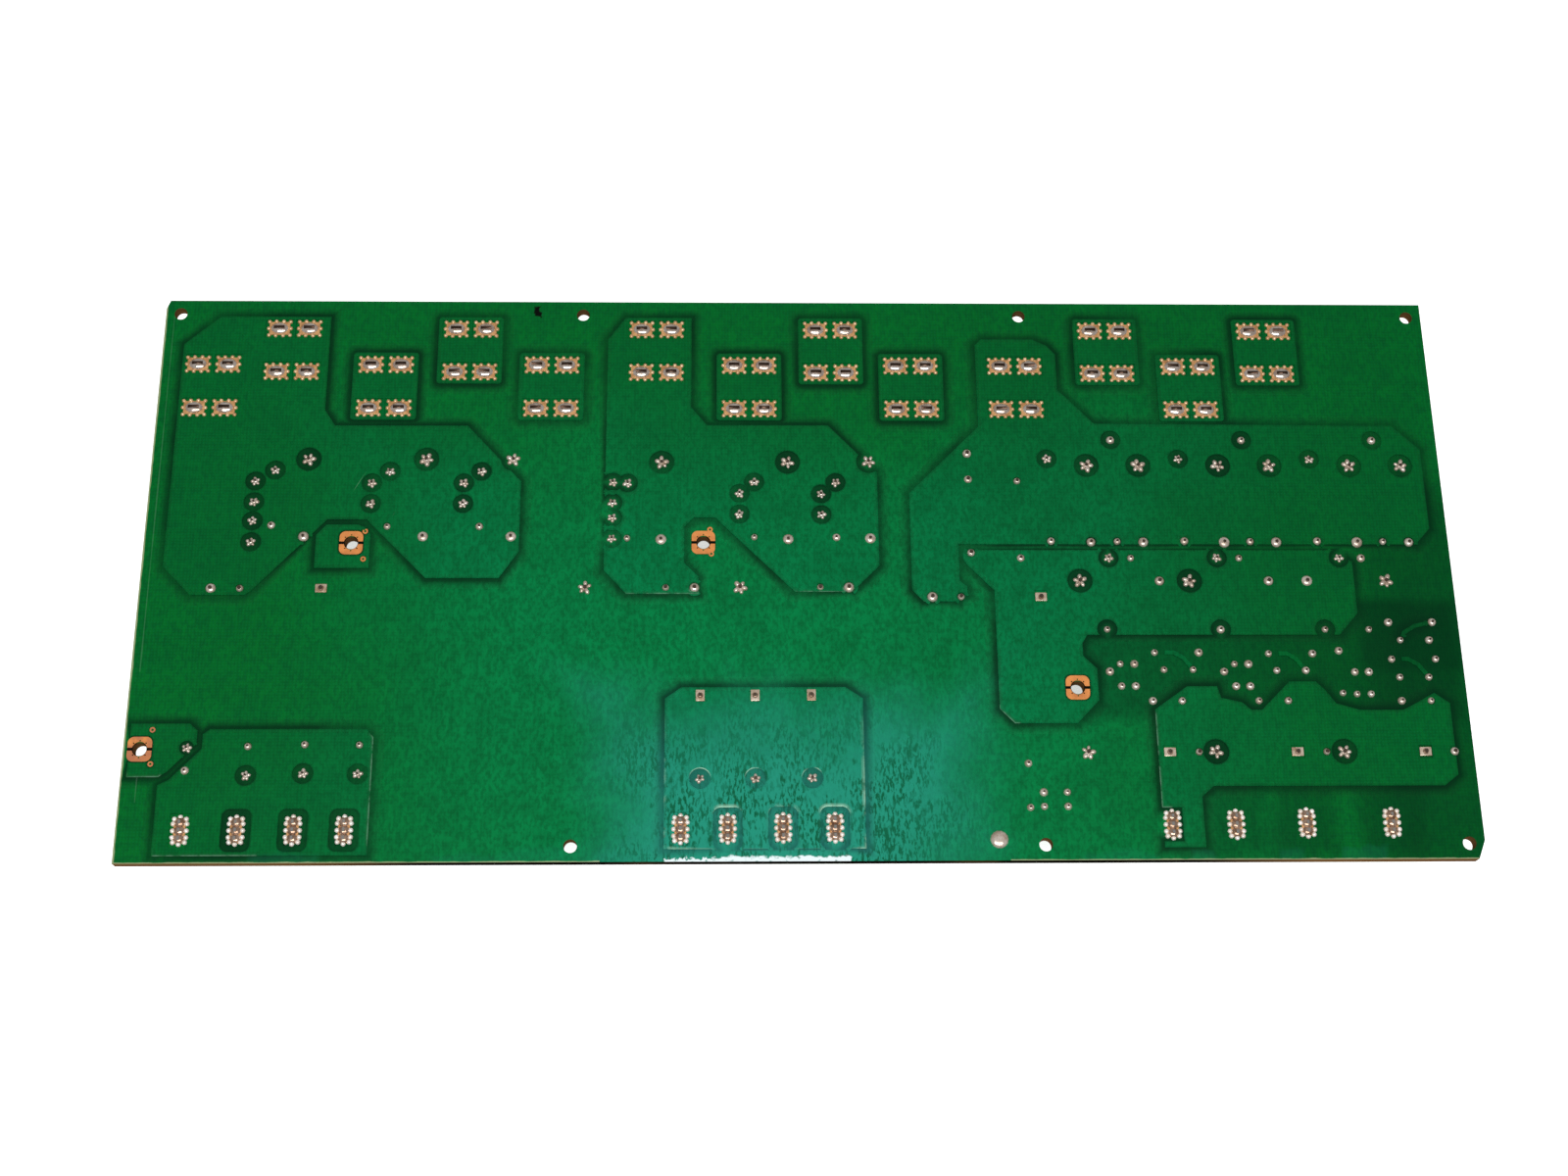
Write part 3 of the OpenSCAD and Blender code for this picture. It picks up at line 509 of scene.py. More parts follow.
class Lacquer(Finish):
    """Semi-gloss green lacquer with a faint weave, a painted sheen near the front edge, painted highlights
    on some rims, and dark bands at the copper's rims that are partly pooled lacquer and partly painted
    shade.
    """

    # Marks of the lacquering and of use, and painted light and shade, each where the board shows it.
    # Painted light: the lacquer is lighter towards the middle of the front edge.
    LIT = Patch(0.36, 0.62, -0.3, 0.30, 0.13, 0.08, 14.0)
    # Painted sheen: a pale teal reflection of light near the middle of the front edge, broken by dark
    # streaks and specks.
    HAZE = Patch(0.432, 0.540, -0.3, 0.08, 0.055, 0.035, 40.0)
    SHADE = (
        Shade(Patch(0.66, 1.2, 0.45, 1.2, 0.05, 0.02, 20.0), 0.1, only_laminate=False),
        Shade(Patch(0.715, 0.99, 0.25, 0.43, 0.006, 0.004, 60.0), 0.47),
        Shade(Patch(0.806, 0.828, 0.03, 0.15, 0.009, 0.006, 90.0), 0.4),
        Shade(Patch(0.856, 0.883, 0.03, 0.15, 0.009, 0.006, 90.0), 0.45),
        Shade(Patch(0.918, 0.947, 0.03, 0.15, 0.009, 0.006, 90.0), 0.45),
        Shade(Patch(0.955, 1.1, 0.02, 0.60, 0.022, 0.02, 40.0), 0.48),
        Shade(Patch(0.928, 1.1, 0.33, 0.43, 0.004, 0.002, 60.0), 0.36, only_laminate=False),
    )
    # Whitish blotchy strips along the middle of the front edge.
    RESIDUE = (
        Patch(0.440, 0.533, -0.01, 0.0055, 0.0006, 0.0030, 420.0),
        Patch(0.398, 0.470, -0.01, 0.0030, 0.0005, 0.0042, 800.0),
    )
    # A black ink smear near the rear edge, and dark slits across the earth lands.
    INK = (
        Patch(0.2905, 0.2945, 0.9735, 0.990, 0.0006, 0.0030, 420.0),
        *(Patch.about(mount["pos_m"], *LAND_SLIT) for mount in EARTH_HOLES),
    )
    SCUFF = Patch(0.160, 0.178, 0.62, 0.66, 0.005, 0.008, 90.0)
    RUNS = (
        Patch(0.100, 0.145, -0.01, 0.008, 0.0030, 0.0090, 70.0),
        Patch(0.230, 0.320, -0.01, 0.010, 0.0030, 0.0100, 60.0),
        Patch(0.350, 0.395, -0.01, 0.008, 0.0030, 0.0090, 70.0),
        Patch(0.705, 0.755, -0.01, 0.006, 0.0030, 0.0090, 70.0),
        Patch(0.786, 0.797, -0.01, 0.010, 0.0020, 0.0060, 110.0),
        Patch(0.850, 0.862, -0.01, 0.010, 0.0020, 0.0060, 110.0),
        Patch(0.897, 0.922, -0.01, 0.012, 0.0020, 0.0070, 110.0),
    )
    LINES = (
        Patch(0.0066, 0.0071, 0.32, 0.97, 0.0001, 0.0005, 60.0),
        Patch(0.0120, 0.0124, 0.10, 0.14, 0.0001, 0.0005, 60.0),
    )
    GRAIN = (
        Blotch(80.0, 0.42, 0.62, 0.18),
        Blotch(260.0, 0.42, 0.62, 0.26, (1.5, 0.7, 1.0)),
        Blotch(620.0, 0.42, 0.62, 0.46, (1.3, 0.8, 1.0)),
    )
    CLUSTERS = Blotch(55.0, 0.34, 0.58)
    STREAKS = Blotch(520.0, 0.48, 0.57, stretch=(2.4, 0.8, 1.0))
    BLOTS = Blotch(170.0, 0.58, 0.68, stretch=(1.8, 0.8, 1.0))
    CRUSTS = Blotch(620.0, 0.26, 0.46, stretch=(1.0, 2.0, 1.0))
    BROKEN_RIM = Blotch(120.0, 0.42, 0.6)
    WORN_RIM = Blotch(260.0, 0.36, 0.62, 0.32)
    # Painted highlights: cream lines along the left and front edges of the board's face.
    RIMS = (
        Patch(-0.01, 0.0010, -0.01, 1.01, 0.0002, 0.0006, 200.0),
        Patch(-0.01, 0.35, -0.01, 0.0010, 0.0002, 0.0006, 260.0),
        Patch(0.65, 1.01, -0.01, 0.0010, 0.0002, 0.0006, 260.0),
    )
    # Painted highlights: thin pale lines along copper rims that face the light.
    GLINTS = (
        Patch(0.367, 0.421, 0.448, 0.460, 0.001),
        Patch(0.495, 0.538, 0.450, 0.464, 0.001),
        Patch(0.584, 0.601, 0.432, 0.446, 0.001),
        Patch(0.644, 0.660, 0.222, 0.258, 0.001),
        Patch(0.006, 0.028, 0.136, 0.147, 0.001),
        Patch(0.030, 0.102, 0.004, 0.018, 0.001),
        Patch(0.178, 0.186, 0.02, 0.21, 0.001),
        Patch(0.758, 0.769, 0.07, 0.245, 0.001),
    )
    # Scales of the patterns, and how strongly each mark shows.
    CLOTH_SCALE, CLOTH_SHARE = 300.0, 0.2
    HAZE_SHARE, SPECK_SHARE = 0.9, 0.82
    POOL_SHARE, POOL_POWER = 0.92, 1.3
    POOL_CLOUD, POOL_SPAN = 24.0, (0.34, 0.60, 0.55, 1.0)
    RUN_SHARE, LINE_SHARE, RIM_SHARE = 0.08, 0.06, 0.4
    SCRATCH_SCALE, SCRATCH_AMOUNT = 70.0, 0.4
    GLINT_POWER = 3.0
    GLOSS_CLOUD, GLOSS_SPAN = 60.0, (0.3, 0.7, 0.28, 0.42)
    SPECULAR = 0.06
    GRIT_SCALE, GRIT_DETAIL = 900.0, 2.0
    BUMP_STRENGTH, BUMP_DISTANCE = 0.08, 0.2 * MM

    def __init__(self, name: str, effects: Effects) -> None:
        """Builds the lacquer.

        Args:
            name: Name of the material.
            effects: The shared groups.
        """
        super().__init__(name)
        self.tones = LacquerTones()
        self.effects = effects
        self.place = self.place_by_face()
        self.over_copper = self.graph.attribute("over_copper")
        self.haze = self.HAZE.mask(self, effects)
        self.cloth = self.graph.use(effects.weave, {"Vector": self.place, "Scale": self.CLOTH_SCALE})
        grit = self.graph.noise(self.place, self.GRIT_SCALE, self.GRIT_DETAIL)
        gloss = self.graph.noise(self.place, self.GLOSS_CLOUD)
        self.set(Base_Color=self.colour(), Specular_IOR_Level=self.SPECULAR)
        self.set(Roughness=self.graph.span(gloss, *self.GLOSS_SPAN))
        self.bump(self.graph.math("ADD", self.cloth, grit), self.BUMP_STRENGTH, self.BUMP_DISTANCE)

    def place_by_face(self) -> Socket:
        """Moves the pattern of the underside a metre aside, so that the upper face's marks stay off it.

        Returns:
            The coordinates that every pattern reads.
        """
        middle = (BOARD_LOW.z + BOARD_HIGH.z) / 2
        below = self.graph.math("LESS_THAN", self.graph.axis(self.place, 2), middle)
        aside = self.graph.add("ShaderNodeCombineXYZ", {0: below, 1: below}).outputs[0]
        return self.graph.vector("ADD", self.place, aside)

    def blotches(self, blotch: Blotch) -> Socket:
        """Returns blotches on the lacquer as a mask."""
        return blotch.mask(self, self.effects)

    def any_of(self, patches: Sequence[Patch]) -> Socket:
        """Returns several patches together as one mask."""
        return self.graph.largest([patch.mask(self, self.effects) for patch in patches])

    def ground(self) -> Socket:
        """Mixes the clean lacquer with soft clouds, and paints light that makes it brighter towards the
        middle of the front edge.

        Returns:
            Its colour.
        """
        graph, tones = self.graph, self.tones
        lit = self.LIT.mask(self, self.effects)
        laminate = graph.mix(lit, tones.laminate, tones.laminate_lit)
        copper = graph.mix(lit, tones.copper, tones.copper_lit)
        body = graph.mix(self.over_copper, laminate, copper)
        for blotch in self.GRAIN:
            body = graph.mix(self.blotches(blotch), body, tones.streak)
        return graph.mix(graph.times(self.cloth, self.CLOTH_SHARE), body, tones.copper_lit)

    def shaded(self, body: Socket) -> Socket:
        """Darkens the listed patches.

        Args:
            body: The colour so far.

        Returns:
            The darkened colour.
        """
        graph = self.graph
        bare = graph.math("SUBTRACT", 1.0, self.over_copper)
        for shade in self.SHADE:
            mask = graph.times(shade.patch.mask(self, self.effects), shade.strength)
            body = graph.mix(graph.times(mask, bare) if shade.only_laminate else mask, body, self.tones.pool)
        return body

    def colour(self) -> Socket:
        """Lays a painted sheen with dark specks, dark bands of pooled lacquer and painted shade, painted
        highlights, runs, marks, whitish strips, ink and dark slits over the clean lacquer.

        Returns:
            The colour.
        """
        graph, tones = self.graph, self.tones
        # The painted sheen, and dark streaks and specks within it.
        body = graph.mix(graph.times(self.haze, self.HAZE_SHARE), self.shaded(self.ground()), tones.haze)
        streaks = graph.times(self.blotches(self.STREAKS), self.blotches(self.CLUSTERS))
        specks = graph.largest([streaks, self.blotches(self.BLOTS)])
        body = graph.mix(graph.times(self.haze, specks, self.SPECK_SHARE), body, tones.streak)
        # Dark bands beside the copper's steps and in the clear rings round joints: partly pooled lacquer,
        # partly painted shade.
        pool = graph.math("POWER", graph.attribute("pool"), self.POOL_POWER)
        uneven = graph.span(graph.noise(self.place, self.POOL_CLOUD), *self.POOL_SPAN)
        # Inside the painted sheen the dark bands are paler.
        dark = graph.mix(self.haze, tones.pool, tones.hazy_pool)
        body = graph.mix(graph.times(pool, uneven, self.POOL_SHARE), body, dark)
        # Painted highlights on copper rims.
        body = graph.mix(self.glint(), body, tones.glint)
        body = graph.mix(graph.times(self.any_of(self.RUNS), self.RUN_SHARE), body, tones.haze)
        # Pale lines and scratches, drawn in the same pale colour as the painted highlights.
        body = graph.mix(self.marks(), body, tones.glint)
        # Painted highlight along the left and front edges.
        body = graph.mix(graph.times(self.any_of(self.RIMS), self.RIM_SHARE), body, tones.rim)
        residue = graph.times(self.any_of(self.RESIDUE), self.blotches(self.CRUSTS))
        body = graph.mix(residue, body, tones.residue)
        return graph.mix(self.any_of(self.INK), body, tones.ink)

    def glint(self) -> Socket:
        """Finds the rims that get a painted highlight, as if they caught the light from the front.

        Returns:
            A mask.
        """
        graph = self.graph
        thin = graph.math("POWER", graph.attribute("rim"), self.GLINT_POWER)
        worn = graph.times(thin, self.any_of(self.GLINTS), self.blotches(self.WORN_RIM))
        hazy = graph.times(self.haze, graph.attribute("front_rim"), self.blotches(self.BROKEN_RIM))
        return graph.largest([worn, hazy])

    def marks(self) -> Socket:
        """Finds the pale lines at the left edge and the scuff by the left group.

        Returns:
            A mask.
        """
        graph = self.graph
        lines = graph.times(self.any_of(self.LINES), self.LINE_SHARE)
        scratch = self.scratches(self.effects, self.SCRATCH_SCALE, self.SCRATCH_AMOUNT)
        return graph.largest([lines, graph.times(scratch, self.SCUFF.mask(self, self.effects))])


class RawLaminate(Finish):
    """Cut laminate at the rims and in the holes: brown layers, with painted shade making the middle of the
    front edge nearly black.
    """

    DARK: Colour = (0.05, 0.024, 0.009)
    LIGHT: Colour = (0.20, 0.105, 0.04)
    SOOT: Colour = (0.003, 0.0022, 0.0015)
    LAYER_STRETCH: Triple = (40.0, 40.0, 2400.0)
    LAYER_SCALE, LAYER_DETAIL = 1.0, 2.0
    SOOT_ENDS = (0.165, 0.12)
    SOOT_DEPTH = (2.0 * MM, 1.0 * MM)
    SOOT_CLOUD, SOOT_SPAN = 30.0, (0.3, 0.5, 0.75, 1.0)
    ROUGHNESS = 0.95

    def __init__(self, name: str) -> None:
        """Builds the finish.

        Args:
            name: Name of the material.
        """
        super().__init__(name)
        graph = self.graph
        place = graph.vector("MULTIPLY", self.place, self.LAYER_STRETCH)
        brown = graph.mix(graph.noise(place, self.LAYER_SCALE, self.LAYER_DETAIL), self.DARK, self.LIGHT)
        middle = graph.span(graph.math("ABSOLUTE", graph.axis(self.place, 0)), *self.SOOT_ENDS)
        patchy = graph.span(graph.noise(self.place, self.SOOT_CLOUD), *self.SOOT_SPAN)
        front = graph.span(graph.axis(self.place, 1), *(BOARD_LOW.y + depth for depth in self.SOOT_DEPTH))
        # Painted shade along the middle of the front edge.
        self.set(Base_Color=graph.mix(graph.times(middle, patchy, front), brown, self.SOOT))
        self.set(Roughness=self.ROUGHNESS, Specular_IOR_Level=0.0)


@dataclass(frozen=True)
class MetalTones:
    """Colours and gloss of a metal surface, and the height from which its soldered tips are darker."""

    bright: Colour
    dull: Colour
    smooth: float
    rough: float
    metallic: float = 1.0
    scale: float = 500.0
    bump: float = 0.05
    tip: Colour = (0.14, 0.085, 0.06)
    tip_from: float = 1.0
    patina: Patch | None = None
    aged: Colour = (0.42, 0.15, 0.075)


class Metal(Finish):
    """Uneven metal: solder, tin plate or bare copper."""

    CLOUD_SPAN = (0.3, 0.7)
    SCRATCH_SCALE_SHARE, SCRATCH_AMOUNT = 0.3, 0.5
    PATINA_SHARE = 0.9
    TIP_BLEND = 0.1 * MM
    BUMP_SCALE_SHARE, BUMP_DISTANCE = 1.6, 0.4 * MM

    def __init__(self, name: str, tones: MetalTones, effects: Effects) -> None:
        """Builds the metal.

        Args:
            name: Name of the material.
            tones: Its colours and gloss.
            effects: The shared groups.
        """
        super().__init__(name)
        graph = self.graph
        cloud = Blotch(tones.scale, *self.CLOUD_SPAN).mask(self, effects)
        scratch = self.scratches(effects, tones.scale * self.SCRATCH_SCALE_SHARE, self.SCRATCH_AMOUNT)
        colour = graph.mix(scratch, graph.mix(cloud, tones.bright, tones.dull), tones.bright)
        if tones.patina:
            aged = graph.times(tones.patina.mask(self, effects), cloud, self.PATINA_SHARE)
            colour = graph.mix(aged, colour, tones.aged)
        tip = graph.span(graph.axis(self.place, 2), tones.tip_from - self.TIP_BLEND, tones.tip_from)
        self.set(Base_Color=graph.mix(tip, colour, tones.tip), Metallic=tones.metallic)
        self.set(Roughness=graph.span(cloud, 0.0, 1.0, tones.smooth, tones.rough))
        grit = graph.noise(self.place, tones.scale * self.BUMP_SCALE_SHARE)
        self.bump(grit, tones.bump, self.BUMP_DISTANCE)


@dataclass(frozen=True)
class CaseTones:
    """Colours of a moulded or dipped part, and the height above which its metal leads begin."""

    body: Colour
    shade: Colour
    gloss: float
    leads_from: float = 28.5 * MM
    lead: Colour = (0.16, 0.12, 0.09)
    scuff: Colour = (0.5, 0.5, 0.48)


class Case(Finish):
    """Moulded or dipped part with tinned leads above the board."""

    BLOTCH = Blotch(90.0, 0.3, 0.75, 0.6)
    SCRATCH_SCALE, SCRATCH_AMOUNT = 120.0, 0.25
    LEAD_BLEND = 0.2 * MM
    GLOSS_CLOUD, GLOSS_SPAN, GLOSS_RANGE = 200.0, (0.3, 0.7), 0.12
    GRIT_SCALE, GRIT_DETAIL = 1500.0, 2.0
    BUMP_STRENGTH, BUMP_DISTANCE = 0.12, 0.2 * MM

    def __init__(self, name: str, tones: CaseTones, effects: Effects) -> None:
        """Builds the part's finish.

        Args:
            name: Name of the material.
            tones: Its colours.
            effects: The shared groups.
        """
        super().__init__(name)
        graph = self.graph
        scuff = self.scratches(effects, self.SCRATCH_SCALE, self.SCRATCH_AMOUNT)
        body = graph.mix(self.BLOTCH.mask(self, effects), tones.body, tones.shade)
        body = graph.mix(scuff, body, tones.scuff)
        metal = graph.span(graph.axis(self.place, 2), tones.leads_from - self.LEAD_BLEND, tones.leads_from)
        self.set(Base_Color=graph.mix(metal, body, tones.lead), Metallic=metal)
        cloud = graph.noise(self.place, self.GLOSS_CLOUD)
        self.set(Roughness=graph.span(cloud, *self.GLOSS_SPAN, tones.gloss, tones.gloss + self.GLOSS_RANGE))
        grit = graph.noise(self.place, self.GRIT_SCALE, self.GRIT_DETAIL)
        self.bump(grit, self.BUMP_STRENGTH, self.BUMP_DISTANCE)


class Palette:
    """Every finish of the board."""

    # Solder, tin and pad colours are partly their own colour and flux stain and partly painted reflection:
    # warm tints stand for warm surroundings, and pale, partly diffuse tones for broad highlights.
    METALS = {
        "solder": MetalTones((0.86, 0.76, 0.67), (0.52, 0.40, 0.31), 0.17, 0.34, 0.65),
        "pad solder": MetalTones((0.92, 0.82, 0.74), (0.62, 0.46, 0.36), 0.10, 0.2, 0.85),
        "gilded solder": MetalTones((0.86, 0.60, 0.36), (0.56, 0.32, 0.15), 0.2, 0.36, 0.45),
        "browned solder": MetalTones((0.66, 0.46, 0.34), (0.30, 0.17, 0.10), 0.12, 0.24, 0.8),
        "tinned pad": MetalTones((0.72, 0.40, 0.17), (0.42, 0.20, 0.075), 0.26, 0.42, 0.4, 700.0, 0.2),
        "pale tin": MetalTones((0.80, 0.67, 0.54), (0.40, 0.26, 0.16), 0.18, 0.34, 0.55, 320.0),
        "bright tin": MetalTones((0.94, 0.91, 0.87), (0.76, 0.66, 0.56), 0.16, 0.3, 0.3),
        "bare copper": MetalTones(
            (0.74, 0.28, 0.075), (0.52, 0.18, 0.05), 0.34, 0.5, 0.25, 260.0, 0.1,
            patina=Patch(-0.01, 0.03, 0.14, 0.24, 0.004),
        ),
        "screw terminal": MetalTones(
            (0.70, 0.68, 0.64), (0.42, 0.38, 0.33), 0.26, 0.42, scale=180.0, tip_from=32.6 * MM
        ),
        "tab": MetalTones((0.80, 0.78, 0.74), (0.55, 0.50, 0.44), 0.2, 0.36, scale=180.0),
    }
    CASES = {
        Slot.CAPACITOR: CaseTones((0.40, 0.38, 0.33), (0.30, 0.28, 0.24), 0.42),
        Slot.VARISTOR: CaseTones((0.018, 0.024, 0.040), (0.010, 0.012, 0.018), 0.38),
        Slot.DISC: CaseTones((0.03, 0.16, 0.42), (0.02, 0.10, 0.30), 0.22),
        Slot.DISC_VARISTOR: CaseTones((0.02, 0.05, 0.20), (0.012, 0.03, 0.12), 0.25),
        Slot.RESISTOR: CaseTones((0.24, 0.33, 0.28), (0.17, 0.24, 0.21), 0.5),
        Slot.ISOLATOR: CaseTones((0.02, 0.02, 0.021), (0.012, 0.012, 0.012), 0.4),
    }

    def __init__(self) -> None:
        """Builds the finishes."""
        fx = Effects()
        self.lacquer = Lacquer("green lacquer", fx).material
        self.laminate = RawLaminate("raw laminate").material
        self.metal = {name: Metal(name, tones, fx).material for name, tones in self.METALS.items()}
        self.hanging = {Slot.STEEL: self.metal["screw terminal"], Slot.TAB: self.metal["tab"]}
        for slot, tones in self.CASES.items():
            self.hanging[slot] = Case(slot.value.replace("_", " "), tones, fx).material


class Bench:
    """Turns bmeshes into finished pieces of the object."""

    SHARP_ANGLE = math.radians(38.0)
    MERGE = 1.0e-6

    @classmethod
    def copy_of(cls, node: str, merge: float = MERGE) -> bmesh.types.BMesh:
        """Copies a node's mesh and merges its loose triangles.

        Args:
            node: Name of the node.
            merge: Distance within which vertices become one.

        Returns:
            The copy.
        """
        bm = bmesh.new()
        bm.from_mesh(frame["nodes"][node].data)
        bmesh.ops.remove_doubles(bm, verts=bm.verts, dist=merge)
        return bm

    @classmethod
    def finish(
        cls,
        bm: bmesh.types.BMesh,
        name: str,
        material: bpy.types.Material,
        slot: Slot,
        replaces: Sequence[str],
        smooth: bool = True,
    ) -> None:
        """Args:
            bm: The shape, which is freed.
            name: Name of the piece.
            material: Its finish.
            slot: The record's slot of that finish; not used.
            replaces: Nodes that the piece stands for.
            smooth: Whether blunt edges are shaded smoothly.
        """
        mesh = bpy.data.meshes.new(name)
        bm.to_mesh(mesh)
        bm.free()
        if smooth:
            mesh.shade_smooth()
            mesh.set_sharp_from_angle(angle=cls.SHARP_ANGLE)
        else:
            mesh.shade_flat()
        mesh.materials.append(material)
        piece = bpy.data.objects.new(name, mesh)
        bpy.context.scene.collection.objects.link(piece)
        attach(piece, BODY)
        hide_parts(*replaces)
        LOG.info("%s: %d faces", name, len(mesh.polygons))

    @staticmethod
    def linked(
        start: bmesh.types.BMVert, edges: set[bmesh.types.BMEdge] | None = None
    ) -> list[bmesh.types.BMVert]:
        """Collects the vertices that hang together.

        Args:
            start: The first vertex.
            edges: The edges that may be followed, or none for all.

        Returns:
            The vertices.
        """
        found = [start]
        seen = {start}
        for vert in found:
            for edge in vert.link_edges:
                other = edge.other_vert(vert)
                if other not in seen and (edges is None or edge in edges):
                    seen.add(other)
                    found.append(other)
        return found

    @classmethod
    def islands(cls, bm: bmesh.types.BMesh) -> Iterator[list[bmesh.types.BMVert]]:
        """Goes through the separate solids of a bmesh.

        Args:
            bm: The bmesh.

        Yields:
            The vertices of each solid.
        """
        seen: set[bmesh.types.BMVert] = set()
        for start in bm.verts:
            if start not in seen:
                found = cls.linked(start)
                seen.update(found)
                yield found

    @staticmethod
    def box(verts: Iterable[bmesh.types.BMVert]) -> tuple[Vector, Vector]:
        """Measures some vertices.

        Args:
            verts: The vertices.

        Returns:
            Their lowest and their highest corner.
        """
        places = [vert.co for vert in verts]
        low = Vector(min(place[axis] for place in places) for axis in range(3))
        high = Vector(max(place[axis] for place in places) for axis in range(3))
        return low, high

    @staticmethod
    def round_edges(
        bm: bmesh.types.BMesh, edges: Sequence[bmesh.types.BMEdge], radius: float, segments: int
    ) -> None:
        """Rounds some edges.

        Args:
            bm: The bmesh.
            edges: The edges.
            radius: How far the rounding reaches.
            segments: Number of its steps.
        """
        bmesh.ops.bevel(
            bm, geom=edges, offset=radius, segments=segments, profile=0.5, affect="EDGES", material=-1,
            clamp_overlap=True,
        )

    @staticmethod
    def ball(segments: tuple[int, int], radius: float) -> bmesh.types.BMesh:
        """Makes a ball.

        Args:
            segments: Number of its segments round and from pole to pole.
            radius: Its radius.

        Returns:
            The ball round the origin.
        """
        bm = bmesh.new()
        bmesh.ops.create_uvsphere(bm, u_segments=segments[0], v_segments=segments[1], radius=radius)
        return bm

    @staticmethod
    def stamp(bm: bmesh.types.BMesh, template: bpy.types.Mesh, matrix: Matrix) -> None:
        """Adds a template's mesh to a bmesh.

        Args:
            bm: The bmesh that grows.
            template: The shape to add.
            matrix: Where it goes.
        """
        before = len(bm.verts)
        bm.from_mesh(template)
        bm.verts.ensure_lookup_table()
        bmesh.ops.transform(bm, matrix=matrix, verts=bm.verts[before:])

    @staticmethod
    def template(bm: bmesh.types.BMesh, name: str) -> bpy.types.Mesh:
        """Keeps a shape as a mesh that is stamped many times.

        Args:
            bm: The shape, which is freed.
            name: Name of the mesh.

        Returns:
            The mesh.
        """
        bmesh.ops.recalc_face_normals(bm, faces=bm.faces)
        mesh = bpy.data.meshes.new(name)
        bm.to_mesh(mesh)
        bm.free()
        return mesh


@dataclass
class Board:
    """The laminate: lacquered faces, and raw rims and holes."""

    flat_from: float = 0.5

    def build(self, palette: Palette) -> None:
        """Builds both pieces and dresses them.

        Args:
            palette: The finishes.
        """
        for name, flat, material in (
            ("board_faces", True, palette.lacquer),
            ("board_rims", False, palette.laminate),
        ):
            bm = Bench.copy_of("circuit_board")
            others = [face for face in bm.faces if (abs(face.normal.z) > self.flat_from) != flat]
            bmesh.ops.delete(bm, geom=others, context="FACES")
            Bench.finish(bm, name, material, Slot.LAMINATE, ["circuit_board"], smooth=not flat)


@dataclass(frozen=True)
class Step:
    """One step of a strip beside an outline: how far it goes, how high it lies and what it carries."""

    distance: float
    height: float
    pool: float
    ring_pool: float
    rim: float = 0.0


